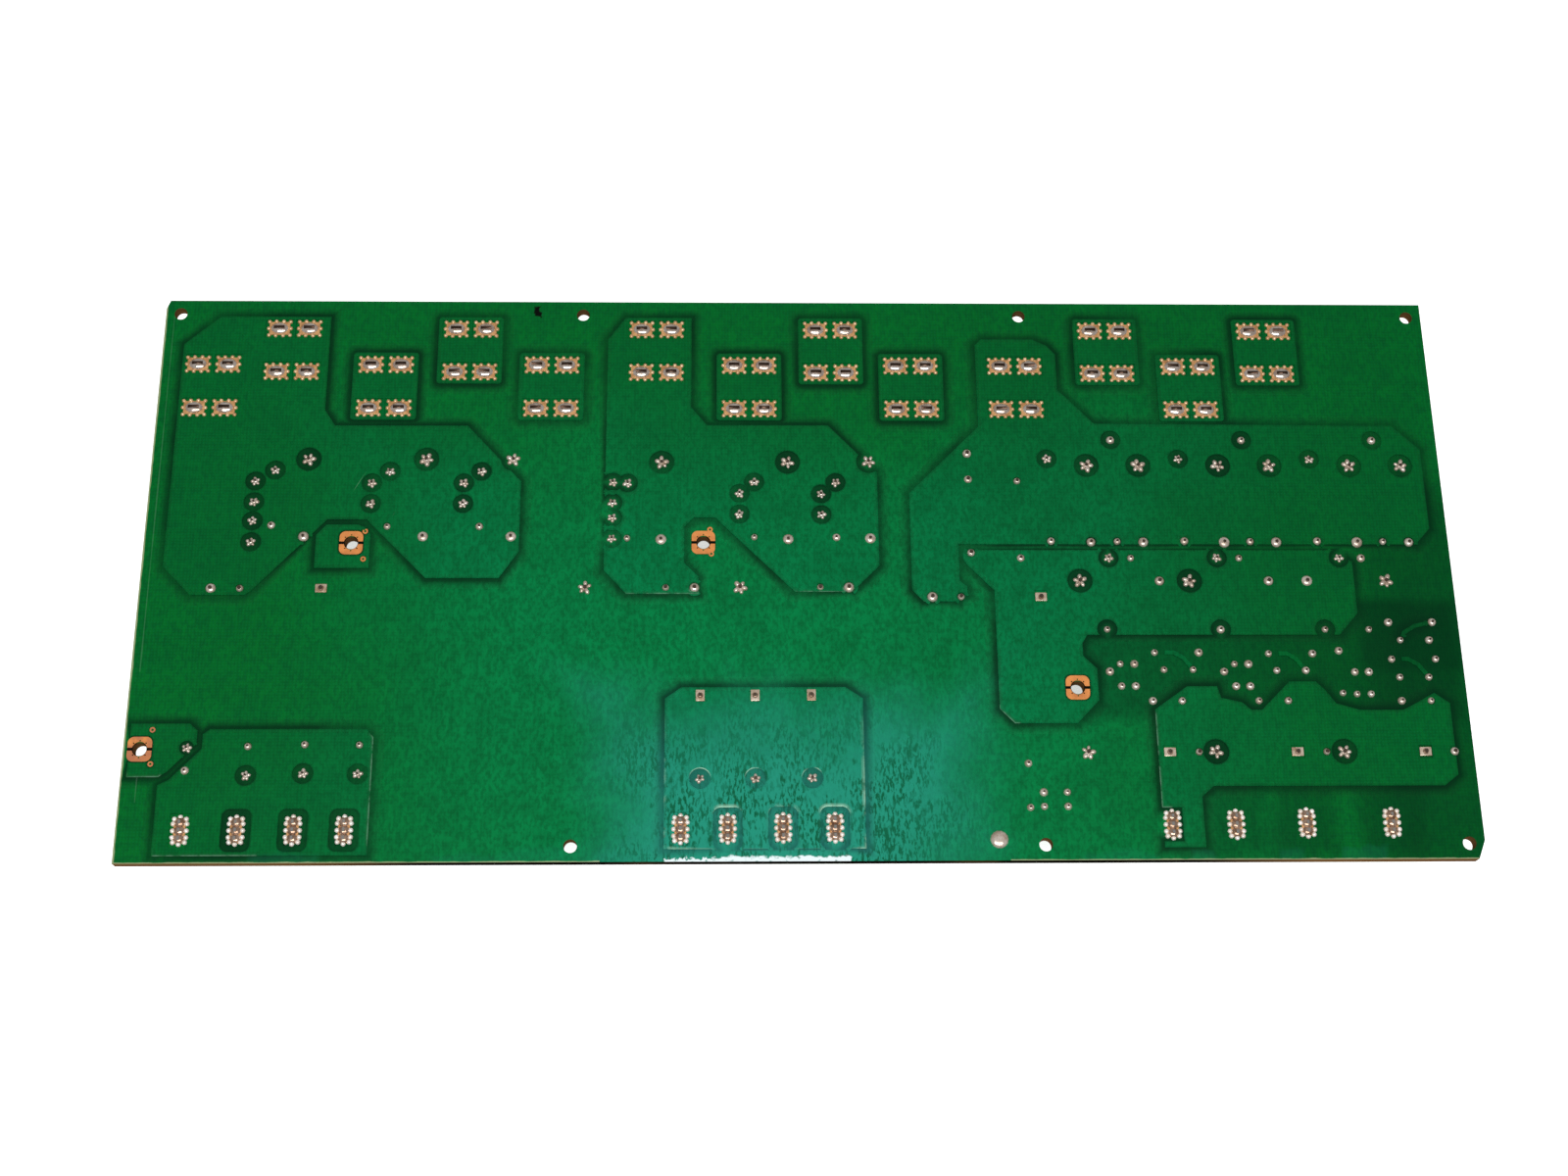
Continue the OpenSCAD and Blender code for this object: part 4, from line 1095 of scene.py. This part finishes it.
@dataclass
class CopperSkin:
    """Heavy copper under lacquer, with soft shoulders and a dark band beside its steps that is partly pooled
    lacquer and partly painted shade.
    """

    merge: float = 0.01 * MM
    wall_below: float = 0.3
    flat_above: float = 0.9
    same_way_from: float = 0.9999
    # Steps inward over the copper's top carry the rims for painted highlights, and the dark band of pooled
    # lacquer and painted shade fading in from the edge.
    shoulder: tuple[Step, ...] = (
        Step(0.0, 0.03 * MM, 0.55, 0.6, 1.0),
        Step(0.2 * MM, 0.03 * MM, 0.45, 0.5, 0.8),
        Step(0.5 * MM, 0.02 * MM, 0.25, 0.3, 0.45),
        Step(1.2 * MM, 0.012 * MM, 0.0, 0.0),
    )
    foot_height: float = 0.10 * MM
    # Steps outward over the laminate carry the dark band of pooled lacquer and painted shade, darkest at the
    # wall's foot.
    skirt: tuple[Step, ...] = (
        Step(0.9 * MM, 0.06 * MM, 0.92, 0.92),
        Step(2.0 * MM, 0.035 * MM, 0.52, 0.96),
        Step(3.6 * MM, 0.015 * MM, 0.0, 1.0),
    )
    ring_span: float = 18.0 * MM
    ring_shoulder: float = 0.4 * MM
    land_reach: float = 0.5 * MM
    land_near: float = 7.7 * MM
    land_edge: float = 6.3 * MM
    opening_gap: float = 0.8 * MM
    miter_limit: float = 1.3
    hole_margin: float = 0.3 * MM
    edge_margin: float = 0.05 * MM

    def build(self, palette: Palette) -> None:
        """Builds the skin and dresses it.

        Args:
            palette: The finishes.
        """
        bm = Bench.copy_of("copper_layer", self.merge)
        names = ("pool", "over_copper", "rim", "front_rim")
        self.layers = {name: bm.verts.layers.float.new(name) for name in names}
        low, high = Bench.box(bm.verts)
        undersides = [face for face in bm.faces if face.normal.z < -self.flat_above]
        bmesh.ops.delete(bm, geom=undersides, context="FACES")
        for vert in bm.verts:
            vert[self.layers["over_copper"]] = 1.0
        brims = self._outlines(edge for edge in bm.edges if self._is_brim(edge))
        feet = self._outlines(edge for edge in bm.edges if len(edge.link_faces) == 1)
        ways = {vert: self._outward(vert) for vert in bm.verts}
        inwards = {vert: -way for vert, way in ways.items()}
        ringed = self._ringed(feet, ways)
        brim_rings = dict.fromkeys(self._ringed(brims, ways), self.ring_shoulder)
        self._strip(bm, brims, self.shoulder, high.z, inwards, brim_rings)
        # The foot of each wall is darkest: pooled lacquer and painted shade.
        for vert in {vert for edge in feet for vert in edge.verts}:
            vert[self.layers["pool"]] = 1.0
            vert[self.layers["over_copper"]] = 0.0
            vert.co.z = low.z + self.foot_height
        self._strip(bm, feet, self.skirt, low.z, ways, ringed)
        Bench.finish(bm, "copper_skin", palette.lacquer, Slot.MASK, ["copper_layer"], smooth=False)

    def _is_brim(self, edge: bmesh.types.BMEdge) -> bool:
        """Returns whether an edge lies between an upper face and a wall."""
        rises = sorted(abs(face.normal.z) for face in edge.link_faces)
        return len(rises) == 2 and rises[0] < self.wall_below and rises[1] > self.flat_above

    def _outlines(self, edges: Iterable[bmesh.types.BMEdge]) -> list[bmesh.types.BMEdge]:
        """Leaves out the outlines of openings that a joint fills.

        Args:
            edges: The edges of all outlines at one height.

        Returns:
            The edges of the outlines that show.
        """
        chosen = set(edges)
        kept: list[bmesh.types.BMEdge] = []
        for loop in self._loops(chosen):
            low, high = Bench.box(loop)
            size = high - low
            gaps = [max(abs(size.x - kind.size[0]), abs(size.y - kind.size[1])) for kind in Joint]
            if min(gaps) > self.opening_gap:
                members = set(loop)
                kept += [edge for edge in chosen if edge.verts[0] in members]
        return kept

    @staticmethod
    def _loops(edges: set[bmesh.types.BMEdge]) -> Iterator[list[bmesh.types.BMVert]]:
        """Goes through the closed outlines.

        Args:
            edges: Their edges.

        Yields:
            The vertices of each outline.
        """
        seen: set[bmesh.types.BMVert] = set()
        for edge in edges:
            if edge.verts[0] not in seen:
                loop = Bench.linked(edge.verts[0], edges)
                seen.update(loop)
                yield loop

    def _outward(self, vert: bmesh.types.BMVert) -> Vector:
        """Finds the way out of the copper at a vertex, long enough to keep a strip's width at corners.

        Args:
            vert: A vertex of a wall.

        Returns:
            The direction in the board's plane.
        """
        normals: list[Vector] = []
        for normal in (face.normal for face in vert.link_faces if abs(face.normal.z) < self.wall_below):
            if all(normal.dot(known) < self.same_way_from for known in normals):
                normals.append(normal.copy())
        total = sum(normals, Vector())
        if total.length < Bench.MERGE:
            return Vector()
        way = total.normalized()
        return way / max(way.dot(normals[0]), 1.0 / self.miter_limit)

    def _ringed(
        self, edges: Sequence[bmesh.types.BMEdge], ways: dict[bmesh.types.BMVert, Vector]
    ) -> dict[bmesh.types.BMVert, float]:
        """Finds the vertices of the clear rings round joints and lands.

        Args:
            edges: The edges of all outlines at one height.
            ways: The way out of the copper at each vertex.

        Returns:
            How far a strip may go, for each vertex of small outlines that close round a gap or face a hole.
        """
        ringed: dict[bmesh.types.BMVert, float] = {}
        for loop in self._loops(set(edges)):
            low, high = Bench.box(loop)
            size = high - low
            inwards = sum(((low + high) / 2 - vert.co).dot(ways[vert]) for vert in loop)
            if size.length < self.ring_span and inwards > 0.0:
                ringed.update(dict.fromkeys(loop, min(size.x, size.y) / 2 - self.hole_margin))
            ringed.update({vert: self.land_reach for vert in loop if self._faces_hole(vert.co, ways[vert])})
        return ringed

    def _faces_hole(self, spot: Vector, way: Vector) -> bool:
        """Returns whether an earth screw hole lies close by, or a little farther in the way of a strip."""
        gaps = [Vector((*mount["pos_m"][:2], spot.z)) - spot for mount in EARTH_HOLES]
        return any(gap.length < (self.land_near if gap.dot(way) > 0.0 else self.land_edge) for gap in gaps)

    def _strip(
        self,
        bm: bmesh.types.BMesh,
        edges: Sequence[bmesh.types.BMEdge],
        steps: Sequence[Step],
        level: float,
        ways: dict[bmesh.types.BMVert, Vector],
        ringed: dict[bmesh.types.BMVert, float],
    ) -> None:
        """Extrudes outlines sideways into flat strips.

        Args:
            bm: The skin.
            edges: The edges of the outlines.
            steps: The steps of the strip.
            level: Height that the steps are counted from.
            ways: The way that the strip goes at each vertex.
            ringed: How far the strip may go from each vertex of the clear rings.
        """
        over = edges[0].verts[0][self.layers["over_copper"]]
        roots = {vert: vert for edge in edges for vert in edge.verts}
        starts = {vert: vert.co.copy() for vert in roots}
        for step in steps:
            made = bmesh.ops.extrude_edge_only(bm, edges=edges)["geom"]
            fresh = [item for item in made if isinstance(item, bmesh.types.BMVert)]
            grown = {vert: roots[self._source(vert, roots)] for vert in fresh}
            for vert, root in grown.items():
                distance = min(step.distance, ringed.get(root, step.distance))
                vert.co = self._keep_on_board(starts[root] + ways[root] * distance)
                vert.co.z = level + step.height
                vert[self.layers["pool"]] = step.ring_pool if root in ringed else step.pool
                vert[self.layers["over_copper"]] = over
                # Weights of the rims for painted highlights: along listed lines, and where a rim faces the
                # front within the painted sheen.
                vert[self.layers["rim"]] = 0.0 if root in ringed else step.rim
                vert[self.layers["front_rim"]] = step.rim * max(0.0, ways[root].y)
            roots = grown
            faces = [item for item in made if isinstance(item, bmesh.types.BMFace)]
            bm.normal_update()
            bmesh.ops.reverse_faces(bm, faces=[face for face in faces if face.normal.z < 0.0])
            edges = [item for item in made if isinstance(item, bmesh.types.BMEdge)]
            edges = [edge for edge in edges if all(vert in grown for vert in edge.verts)]

    @staticmethod
    def _source(vert: bmesh.types.BMVert, known: dict[bmesh.types.BMVert, Any]) -> bmesh.types.BMVert:
        """Returns the vertex that an extruded vertex came from."""
        return next(other for edge in vert.link_edges if (other := edge.other_vert(vert)) in known)

    def _keep_on_board(self, spot: Vector) -> Vector:
        """Keeps a point off the screw holes and inside the board's outline.

        Args:
            spot: The wished place.

        Returns:
            The nearest allowed place.
        """
        for mount in frame["record"]["mounts"]:
            if mount["kind"] != "bore":
                continue
            centre = Vector((*mount["pos_m"][:2], spot.z))
            away = spot - centre
            clear = mount["dims"]["r_mm"] * MM + self.hole_margin
            if 0.0 < away.length < clear:
                spot = centre + away.normalized() * clear
        spot.x = min(max(spot.x, BOARD_LOW.x + self.edge_margin), BOARD_HIGH.x - self.edge_margin)
        spot.y = min(max(spot.y, BOARD_LOW.y + self.edge_margin), BOARD_HIGH.y - self.edge_margin)
        return spot


@dataclass(frozen=True)
class PadStyle:
    """One kind of pad: its bumps along the outline and the heaps of solder on its legs."""

    kind: Joint
    bumps: tuple[int, int]
    bump_radius: float
    corner_pull: float
    mound: Triple
    legs: tuple[float, ...]
    bump_metal: str
    mound_metal: str


@dataclass
class SolderSide:
    """Pads and joints, each set on the place of its solid."""

    dome_segments: int = 14
    dome_profile: tuple[tuple[float, float], ...] = (
        (1.0, 0.0), (0.97, 0.2), (0.86, 0.5), (0.66, 0.78), (0.4, 0.95), (0.0, 1.04),
    )
    dome_height: float = 1.15 * MM
    core_height: float = 0.95 * MM
    dome_growth: tuple[float, float] = (1.0, 1.3)
    arm_shares: Triple = (0.54, 0.40, 0.42)
    arm_pulls: tuple[float, float] = (0.42, 0.26)
    long_reach: float = 1.75 * MM
    arm_growth: tuple[float, float] = (0.75, 1.2)
    arm_swing: float = 0.5
    arm_jitter: float = 0.22
    square_size: Triple = (3.8 * MM, 2.9 * MM, 0.4 * MM)
    square_round: float = 0.2 * MM
    square_core_share: float = 0.38
    upright_squares_within: float = 0.05
    sheet_height: float = 0.4 * MM
    sheet_round: float = 0.25 * MM
    sheet_segments: int = 2
    bump_segments: tuple[int, int] = (8, 6)
    mound_segments: tuple[int, int] = (20, 12)
    inset_share: float = 1.3
    pads: tuple[PadStyle, ...] = (
        PadStyle(
            Joint.TERMINAL_PAD,
            bumps=(4, 1),
            bump_radius=0.72 * MM,
            corner_pull=0.95,
            mound=(3.1 * MM, 2.2 * MM, 1.4 * MM),
            legs=(0.0,),
            bump_metal="gilded solder",
            mound_metal="pad solder",
        ),
        PadStyle(
            Joint.TAB_PAD,
            bumps=(3, 3),
            bump_radius=0.86 * MM,
            corner_pull=0.86,
            mound=(1.8 * MM, 1.7 * MM, 1.3 * MM),
            legs=(-2.6 * MM, 0.0, 2.6 * MM),
            bump_metal="bright tin",
            mound_metal="browned solder",
        ),
    )
    seed: int = 5

    def build(self, palette: Palette) -> None:
        """Builds the solder and dresses it.

        Args:
            palette: The finishes.
        """
        self.chance = random.Random(self.seed)
        places = self._places()
        self._wire_joints(places, palette)
        self._stars(places, palette)
        self._pads(places, palette)

    @staticmethod
    def _places() -> dict[Joint, list[Vector]]:
        """Finds the joints in the solids of the solder.

        Returns:
            Places on the board by kind of joint.
        """
        solids = Bench.copy_of("solder_joints")
        places: dict[Joint, list[Vector]] = {kind: [] for kind in Joint}
        base = min(vert.co.z for vert in solids.verts)
        for verts in Bench.islands(solids):
            low, high = Bench.box(verts)
            centre = (low + high) / 2
            centre.z = base
            places[Joint.of_size(high.x - low.x, high.y - low.y)].append(centre)
        solids.free()
        for kind, spots in places.items():
            LOG.info("%s: %d places", kind.name.lower(), len(spots))
        return places

    def _dome(self, radius: float, height: float) -> bpy.types.Mesh:
        """Turns the profile of a joint.

        Args:
            radius: Radius at the board.
            height: Height above the board.

        Returns:
            The joint at the origin.
        """
        bm = bmesh.new()
        line = [bm.verts.new((share * radius, 0.0, rise * height)) for share, rise in self.dome_profile]
        edges = [bm.edges.new(pair) for pair in zip(line, line[1:])]
        bmesh.ops.spin(
            bm, geom=[*line, *edges], axis=(0, 0, 1), cent=(0, 0, 0), angle=2 * math.pi,
            steps=self.dome_segments, use_merge=True,
        )
        bmesh.ops.remove_doubles(bm, verts=bm.verts, dist=Bench.MERGE)
        return Bench.template(bm, "joint")

    def _wire_joints(self, places: dict[Joint, list[Vector]], palette: Palette) -> None:
        """Builds the round, square and filled joints.

        Args:
            places: Places of the joints by kind.
            palette: The finishes.
        """
        bm = bmesh.new()
        for kind in (Joint.ROUND, Joint.SMALL, Joint.FILLED_HOLE):
            dome = self._dome(kind.size[0] / 2, self.dome_height)
            for spot in places[kind]:
                growth = self.chance.uniform(*self.dome_growth)
                Bench.stamp(bm, dome, Matrix.Translation(spot) @ Matrix.Diagonal((growth, growth, 1.0, 1.0)))
        width, depth, height = self.square_size
        sheets, cores = bmesh.new(), bmesh.new()
        plate = self._sheet(width, depth, height, self.square_round)
        core = self._dome(depth * self.square_core_share, self.core_height)
        for spot in places[Joint.SQUARE]:
            angle = math.pi / 2 if abs(spot.x) < self.upright_squares_within else 0.0
            Bench.stamp(sheets, plate, Matrix.Translation(spot) @ Matrix.Rotation(angle, 4, "Z"))
            Bench.stamp(cores, core, Matrix.Translation(spot))
        for pieces, name, metal in (
            (bm, "wire_joints", "solder"),
            (sheets, "square_pads", "pale tin"),
            (cores, "square_cores", "browned solder"),
        ):
            Bench.finish(pieces, name, palette.metal[metal], Slot.SOLDER, ["solder_joints"])

    def _stars(self, places: dict[Joint, list[Vector]], palette: Palette) -> None:
        """Builds the star joints: a core with small rounded arms of uneven length.

        Args:
            places: Places of the joints by kind.
            palette: The finishes.
        """
        bm = bmesh.new()
        core = self._dome(Joint.STAR.size[0] / 2, self.core_height)
        stars = places[Joint.STAR]
        swing = []
        for star in stars:
            swing.append(self.chance.uniform(-self.arm_swing, self.arm_swing))
            Bench.stamp(bm, core, Matrix.Translation(star))
        arm = Bench.template(Bench.ball(self.bump_segments, 1.0), "arm")
        for spot in places[Joint.BUMP]:
            gaps = [(star - spot).length for star in stars]
            reach = min(gaps)
            number = gaps.index(reach)
            way = spot - stars[number]
            jitter = self.chance.uniform(-self.arm_jitter, self.arm_jitter)
            turn = Matrix.Rotation(math.atan2(way.y, way.x) + swing[number] + jitter, 4, "Z")
            growth = self.chance.uniform(*self.arm_growth)
            size = Matrix.Diagonal((*(share * reach * growth for share in self.arm_shares), 1.0))
            out = Matrix.Translation((reach * (1.0 - self.arm_pulls[reach > self.long_reach]), 0.0, 0.0))
            Bench.stamp(bm, arm, Matrix.Translation(stars[number]) @ turn @ out @ size)
        Bench.finish(bm, "star_joints", palette.metal["solder"], Slot.SOLDER, ["solder_joints"])

    def _sheet(self, width: float, depth: float, height: float, rounding: float) -> bpy.types.Mesh:
        """Makes a flat plate with rounded upper edges and corners.

        Args:
            width: Size along X.
            depth: Size along Y.
            height: Size along Z.
            rounding: Radius of the edges.

        Returns:
            The plate, standing on the origin.
        """
        bm = bmesh.new()
        bmesh.ops.create_cube(bm, size=1.0)
        bmesh.ops.scale(bm, vec=(width, depth, height), verts=bm.verts)
        bmesh.ops.translate(bm, vec=(0.0, 0.0, height / 2), verts=bm.verts)
        edges = [edge for edge in bm.edges if any(vert.co.z > height / 2 for vert in edge.verts)]
        Bench.round_edges(bm, edges, rounding, self.sheet_segments)
        return Bench.template(bm, "sheet")

    def _scallops(self, style: PadStyle) -> bpy.types.Mesh:
        """Makes the small bumps along the outline of a pad.

        Args:
            style: The kind of pad.

        Returns:
            The bumps round the origin.
        """
        bump = Bench.template(Bench.ball(self.bump_segments, style.bump_radius), "scallop")
        reach_x, reach_y = (side / 2 - style.bump_radius for side in style.kind.size)
        along_x, along_y = style.bumps
        spots = [(2 * i / (along_x - 1) - 1, side) for i in range(along_x) for side in (-1, 1)]
        spots += [(side, 2 * (i + 1) / (along_y + 1) - 1) for i in range(along_y) for side in (-1, 1)]
        bm = bmesh.new()
        for x, y in spots:
            pull = style.corner_pull if abs(x) == abs(y) == 1 else 1.0
            Bench.stamp(bm, bump, Matrix.Translation((x * reach_x * pull, y * reach_y * pull, 0.0)))
        return Bench.template(bm, "scallops")

    def _mounds(self, style: PadStyle) -> bpy.types.Mesh:
        """Makes the rounded heaps of solder on the legs of one pad.

        Args:
            style: The kind of pad.

        Returns:
            The heaps on the origin.
        """
        bm = Bench.ball(self.mound_segments, 1.0)
        bmesh.ops.scale(bm, vec=style.mound, verts=bm.verts)
        bmesh.ops.bisect_plane(
            bm, geom=[*bm.verts, *bm.edges, *bm.faces], plane_co=(0, 0, 0), plane_no=(0, 0, 1),
            clear_inner=True,
        )
        mound = Bench.template(bm, "mound")
        row = bmesh.new()
        for leg in style.legs:
            Bench.stamp(row, mound, Matrix.Translation((0.0, leg, 0.0)))
        return Bench.template(row, "mounds")

    def _pads(self, places: dict[Joint, list[Vector]], palette: Palette) -> None:
        """Builds the pads of the screw terminals and of the tabs, with their heaps of solder.

        Args:
            places: Places of the joints by kind.
            palette: The finishes.
        """
        for style in self.pads:
            inset = 2 * style.bump_radius * self.inset_share
            width, depth = (side - inset for side in style.kind.size)
            shapes = (
                ("sheets", self._sheet(width, depth, self.sheet_height, self.sheet_round), "tinned pad"),
                ("bumps", self._scallops(style), style.bump_metal),
                ("mounds", self._mounds(style), style.mound_metal),
            )
            for label, shape, metal in shapes:
                bm = bmesh.new()
                for spot in places[style.kind]:
                    Bench.stamp(bm, shape, Matrix.Translation(spot))
                name = f"{style.kind.name.lower()}_{label}"
                Bench.finish(bm, name, palette.metal[metal], Slot.SOLDER, ["solder_joints"])


@dataclass
class HangingParts:
    """Parts below the board: copies of their solids with rounded edges."""

    prefix: str
    slot: Slot
    rounding: float
    segments: int = 3
    edges_below: float = 27.3 * MM
    flat_angle: float = math.radians(1.0)
    sharp_angle: float = math.radians(50.0)

    def build(self, material: bpy.types.Material) -> None:
        """Builds every part of the group.

        Args:
            material: The group's finish.
        """
        for node in (name for name in frame["nodes"] if name.startswith(self.prefix)):
            bm = Bench.copy_of(node)
            bmesh.ops.dissolve_limit(bm, angle_limit=self.flat_angle, verts=bm.verts, edges=bm.edges)
            edges = [edge for edge in bm.edges if self._is_sharp(edge)]
            Bench.round_edges(bm, edges, self.rounding, self.segments)
            Bench.finish(bm, f"dressed_{node}", material, self.slot, [node])

    def _is_sharp(self, edge: bmesh.types.BMEdge) -> bool:
        """Returns whether an edge is sharp and lies below the board."""
        low_enough = max(vert.co.z for vert in edge.verts) < self.edges_below
        return low_enough and len(edge.link_faces) == 2 and edge.calc_face_angle() > self.sharp_angle


HANGING = (
    HangingParts("rear_terminal_", Slot.STEEL, rounding=0.25 * MM, segments=2),
    HangingParts("front_tab_", Slot.TAB, rounding=0.12 * MM, segments=2),
    HangingParts("film_capacitor_", Slot.CAPACITOR, rounding=0.7 * MM),
    HangingParts("varistor_", Slot.VARISTOR, rounding=0.7 * MM),
    HangingParts("disc_capacitors", Slot.DISC, rounding=1.1 * MM, segments=4),
    HangingParts("disc_varistors", Slot.DISC_VARISTOR, rounding=1.3 * MM, segments=4),
    HangingParts("axial_resistors", Slot.RESISTOR, rounding=0.8 * MM),
    HangingParts("optical_isolators", Slot.ISOLATOR, rounding=0.25 * MM, segments=2),
)


@dataclass(frozen=True)
class Lamp:
    """A soft light that faces the board: its place, its width and depth, and its power in watts."""

    name: str
    place: Triple
    size: tuple[float, float]
    power: float
    reflected: bool = True

    def build(self) -> None:
        """Adds the light to the scene."""
        data = bpy.data.lights.new(self.name, "AREA")
        data.shape = "RECTANGLE"
        data.size, data.size_y = self.size
        data.energy = self.power
        light = bpy.data.objects.new(self.name, data)
        light.location = self.place
        light.rotation_euler = (-Vector(self.place)).to_track_quat("-Z", "Y").to_euler()
        light.visible_glossy = self.reflected
        bpy.context.scene.collection.objects.link(light)


@dataclass
class Studio:
    """Pale floor, soft lights and the camera at the photograph's viewing angle."""

    camera_place: Triple = (-0.02535, -0.24415, 0.65361)
    pitch: float = math.radians(69.974)
    yaw: float = math.radians(-4.690)
    roll: float = math.radians(4.398)
    lens: float = 48.874
    floor_size: float = 6.0
    floor_drop: float = 0.3 * MM
    floor_tones: tuple[Colour, Colour] = ((0.95, 0.95, 0.95), (0.93, 0.93, 0.93))
    floor_cloud: float = 3.0
    floor_roughness: float = 0.9
    floor_glow: float = 0.6
    floor_fade: tuple[float, float] = (0.55, 1.0)
    world_strength: float = 0.25
    lamps: tuple[Lamp, ...] = (
        Lamp("key_light", (-0.03, -0.48, 0.85), (1.0, 0.42), 6.5),
        Lamp("fill_light", (0.0, 0.35, 1.5), (1.6, 1.6), 13.5, reflected=False),
    )

    def build(self) -> None:
        """Builds the whole surrounding."""
        self._floor()
        self._camera()
        for lamp in self.lamps:
            lamp.build()
        world = bpy.data.worlds.new("studio")
        bpy.context.scene.world = world
        world.use_nodes = True
        background = world.node_tree.nodes["Background"]
        background.inputs["Color"].default_value = (1.0, 1.0, 1.0, 1.0)
        graph = Graph(world.node_tree)
        seen = graph.add("ShaderNodeLightPath", {}).outputs["Is Camera Ray"]
        graph.feed(background.inputs["Strength"], graph.span(seen, 0.0, 1.0, self.world_strength, 1.0))
        bpy.context.scene.view_settings.view_transform = "Standard"

    def _floor(self) -> None:
        """Builds the pale floor, which fades out far away and can be seen through from below."""
        bm = bmesh.new()
        bmesh.ops.create_grid(bm, x_segments=1, y_segments=1, size=self.floor_size / 2)
        bmesh.ops.translate(bm, vec=(0.0, 0.0, -self.floor_drop), verts=bm.verts)
        mesh = bpy.data.meshes.new("floor")
        bm.to_mesh(mesh)
        bm.free()
        floor = bpy.data.objects.new("floor", mesh)
        bpy.context.scene.collection.objects.link(floor)
        finish = Finish("pale floor")
        graph = finish.graph
        cloud = graph.noise(finish.place, self.floor_cloud)
        finish.set(Base_Color=graph.mix(cloud, *self.floor_tones), Roughness=self.floor_roughness)
        finish.set(Emission_Color=(1.0, 1.0, 1.0), Emission_Strength=self.floor_glow)
        below = graph.add("ShaderNodeNewGeometry", {}).outputs["Backfacing"]
        away = graph.add("ShaderNodeVectorMath", {0: finish.place}, operation="LENGTH").outputs["Value"]
        share = graph.largest([below, graph.span(away, *self.floor_fade)])
        clear = graph.add("ShaderNodeBsdfTransparent", {}).outputs[0]
        seen = graph.add("ShaderNodeMixShader", {0: share, 1: finish.shader.outputs[0], 2: clear}).outputs[0]
        graph.feed(graph.tree.nodes["Material Output"].inputs["Surface"], seen)
        mesh.materials.append(finish.material)
        floor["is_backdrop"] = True

    def _camera(self) -> None:
        """Sets the camera over the board's upper face."""
        right = Vector((1.0, 0.0, 0.0))
        ahead = Vector((0.0, math.cos(self.pitch), -math.sin(self.pitch)))
        up = Vector((0.0, math.sin(self.pitch), math.cos(self.pitch)))
        turn = Matrix.Rotation(self.yaw, 3, "Z")
        right, ahead, up = turn @ right, turn @ ahead, turn @ up
        level = math.cos(self.roll) * right + math.sin(self.roll) * up
        upper = math.cos(self.roll) * up - math.sin(self.roll) * right
        data = bpy.data.cameras.new("camera")
        data.sensor_fit = "HORIZONTAL"
        data.lens = self.lens
        camera = bpy.data.objects.new("camera", data)
        bpy.context.scene.collection.objects.link(camera)
        matrix = Matrix((level, upper, -ahead)).transposed().to_4x4()
        matrix.translation = Vector(self.camera_place) + Vector((0.0, 0.0, BOARD_HIGH.z))
        camera.matrix_world = matrix
        bpy.context.scene.camera = camera


def dress_node(node: str, material: bpy.types.Material) -> None:
    """Gives a node that keeps its solid a better finish.

    Args:
        node: Name of the node.
        material: Its finish.
    """
    mesh = frame["nodes"][node].data
    mesh.materials.clear()
    mesh.materials.append(material)
    LOG.info("%s keeps its solid", node)


def main() -> None:
    """Builds the scene."""
    logging.basicConfig(level=logging.INFO)
    palette = Palette()
    Studio().build()
    dress_node("ground_lands", palette.metal["bare copper"])
    Board().build(palette)
    CopperSkin().build(palette)
    SolderSide().build(palette)
    for parts in HANGING:
        parts.build(palette.hanging[parts.slot])
    bpy.context.view_layer.update()
    boxes = {"cad": CAD_BOX, "visual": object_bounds()}
    {name: [list(corner) for corner in box] for name, box in boxes.items()}


if __name__ == "__main__":
    main()
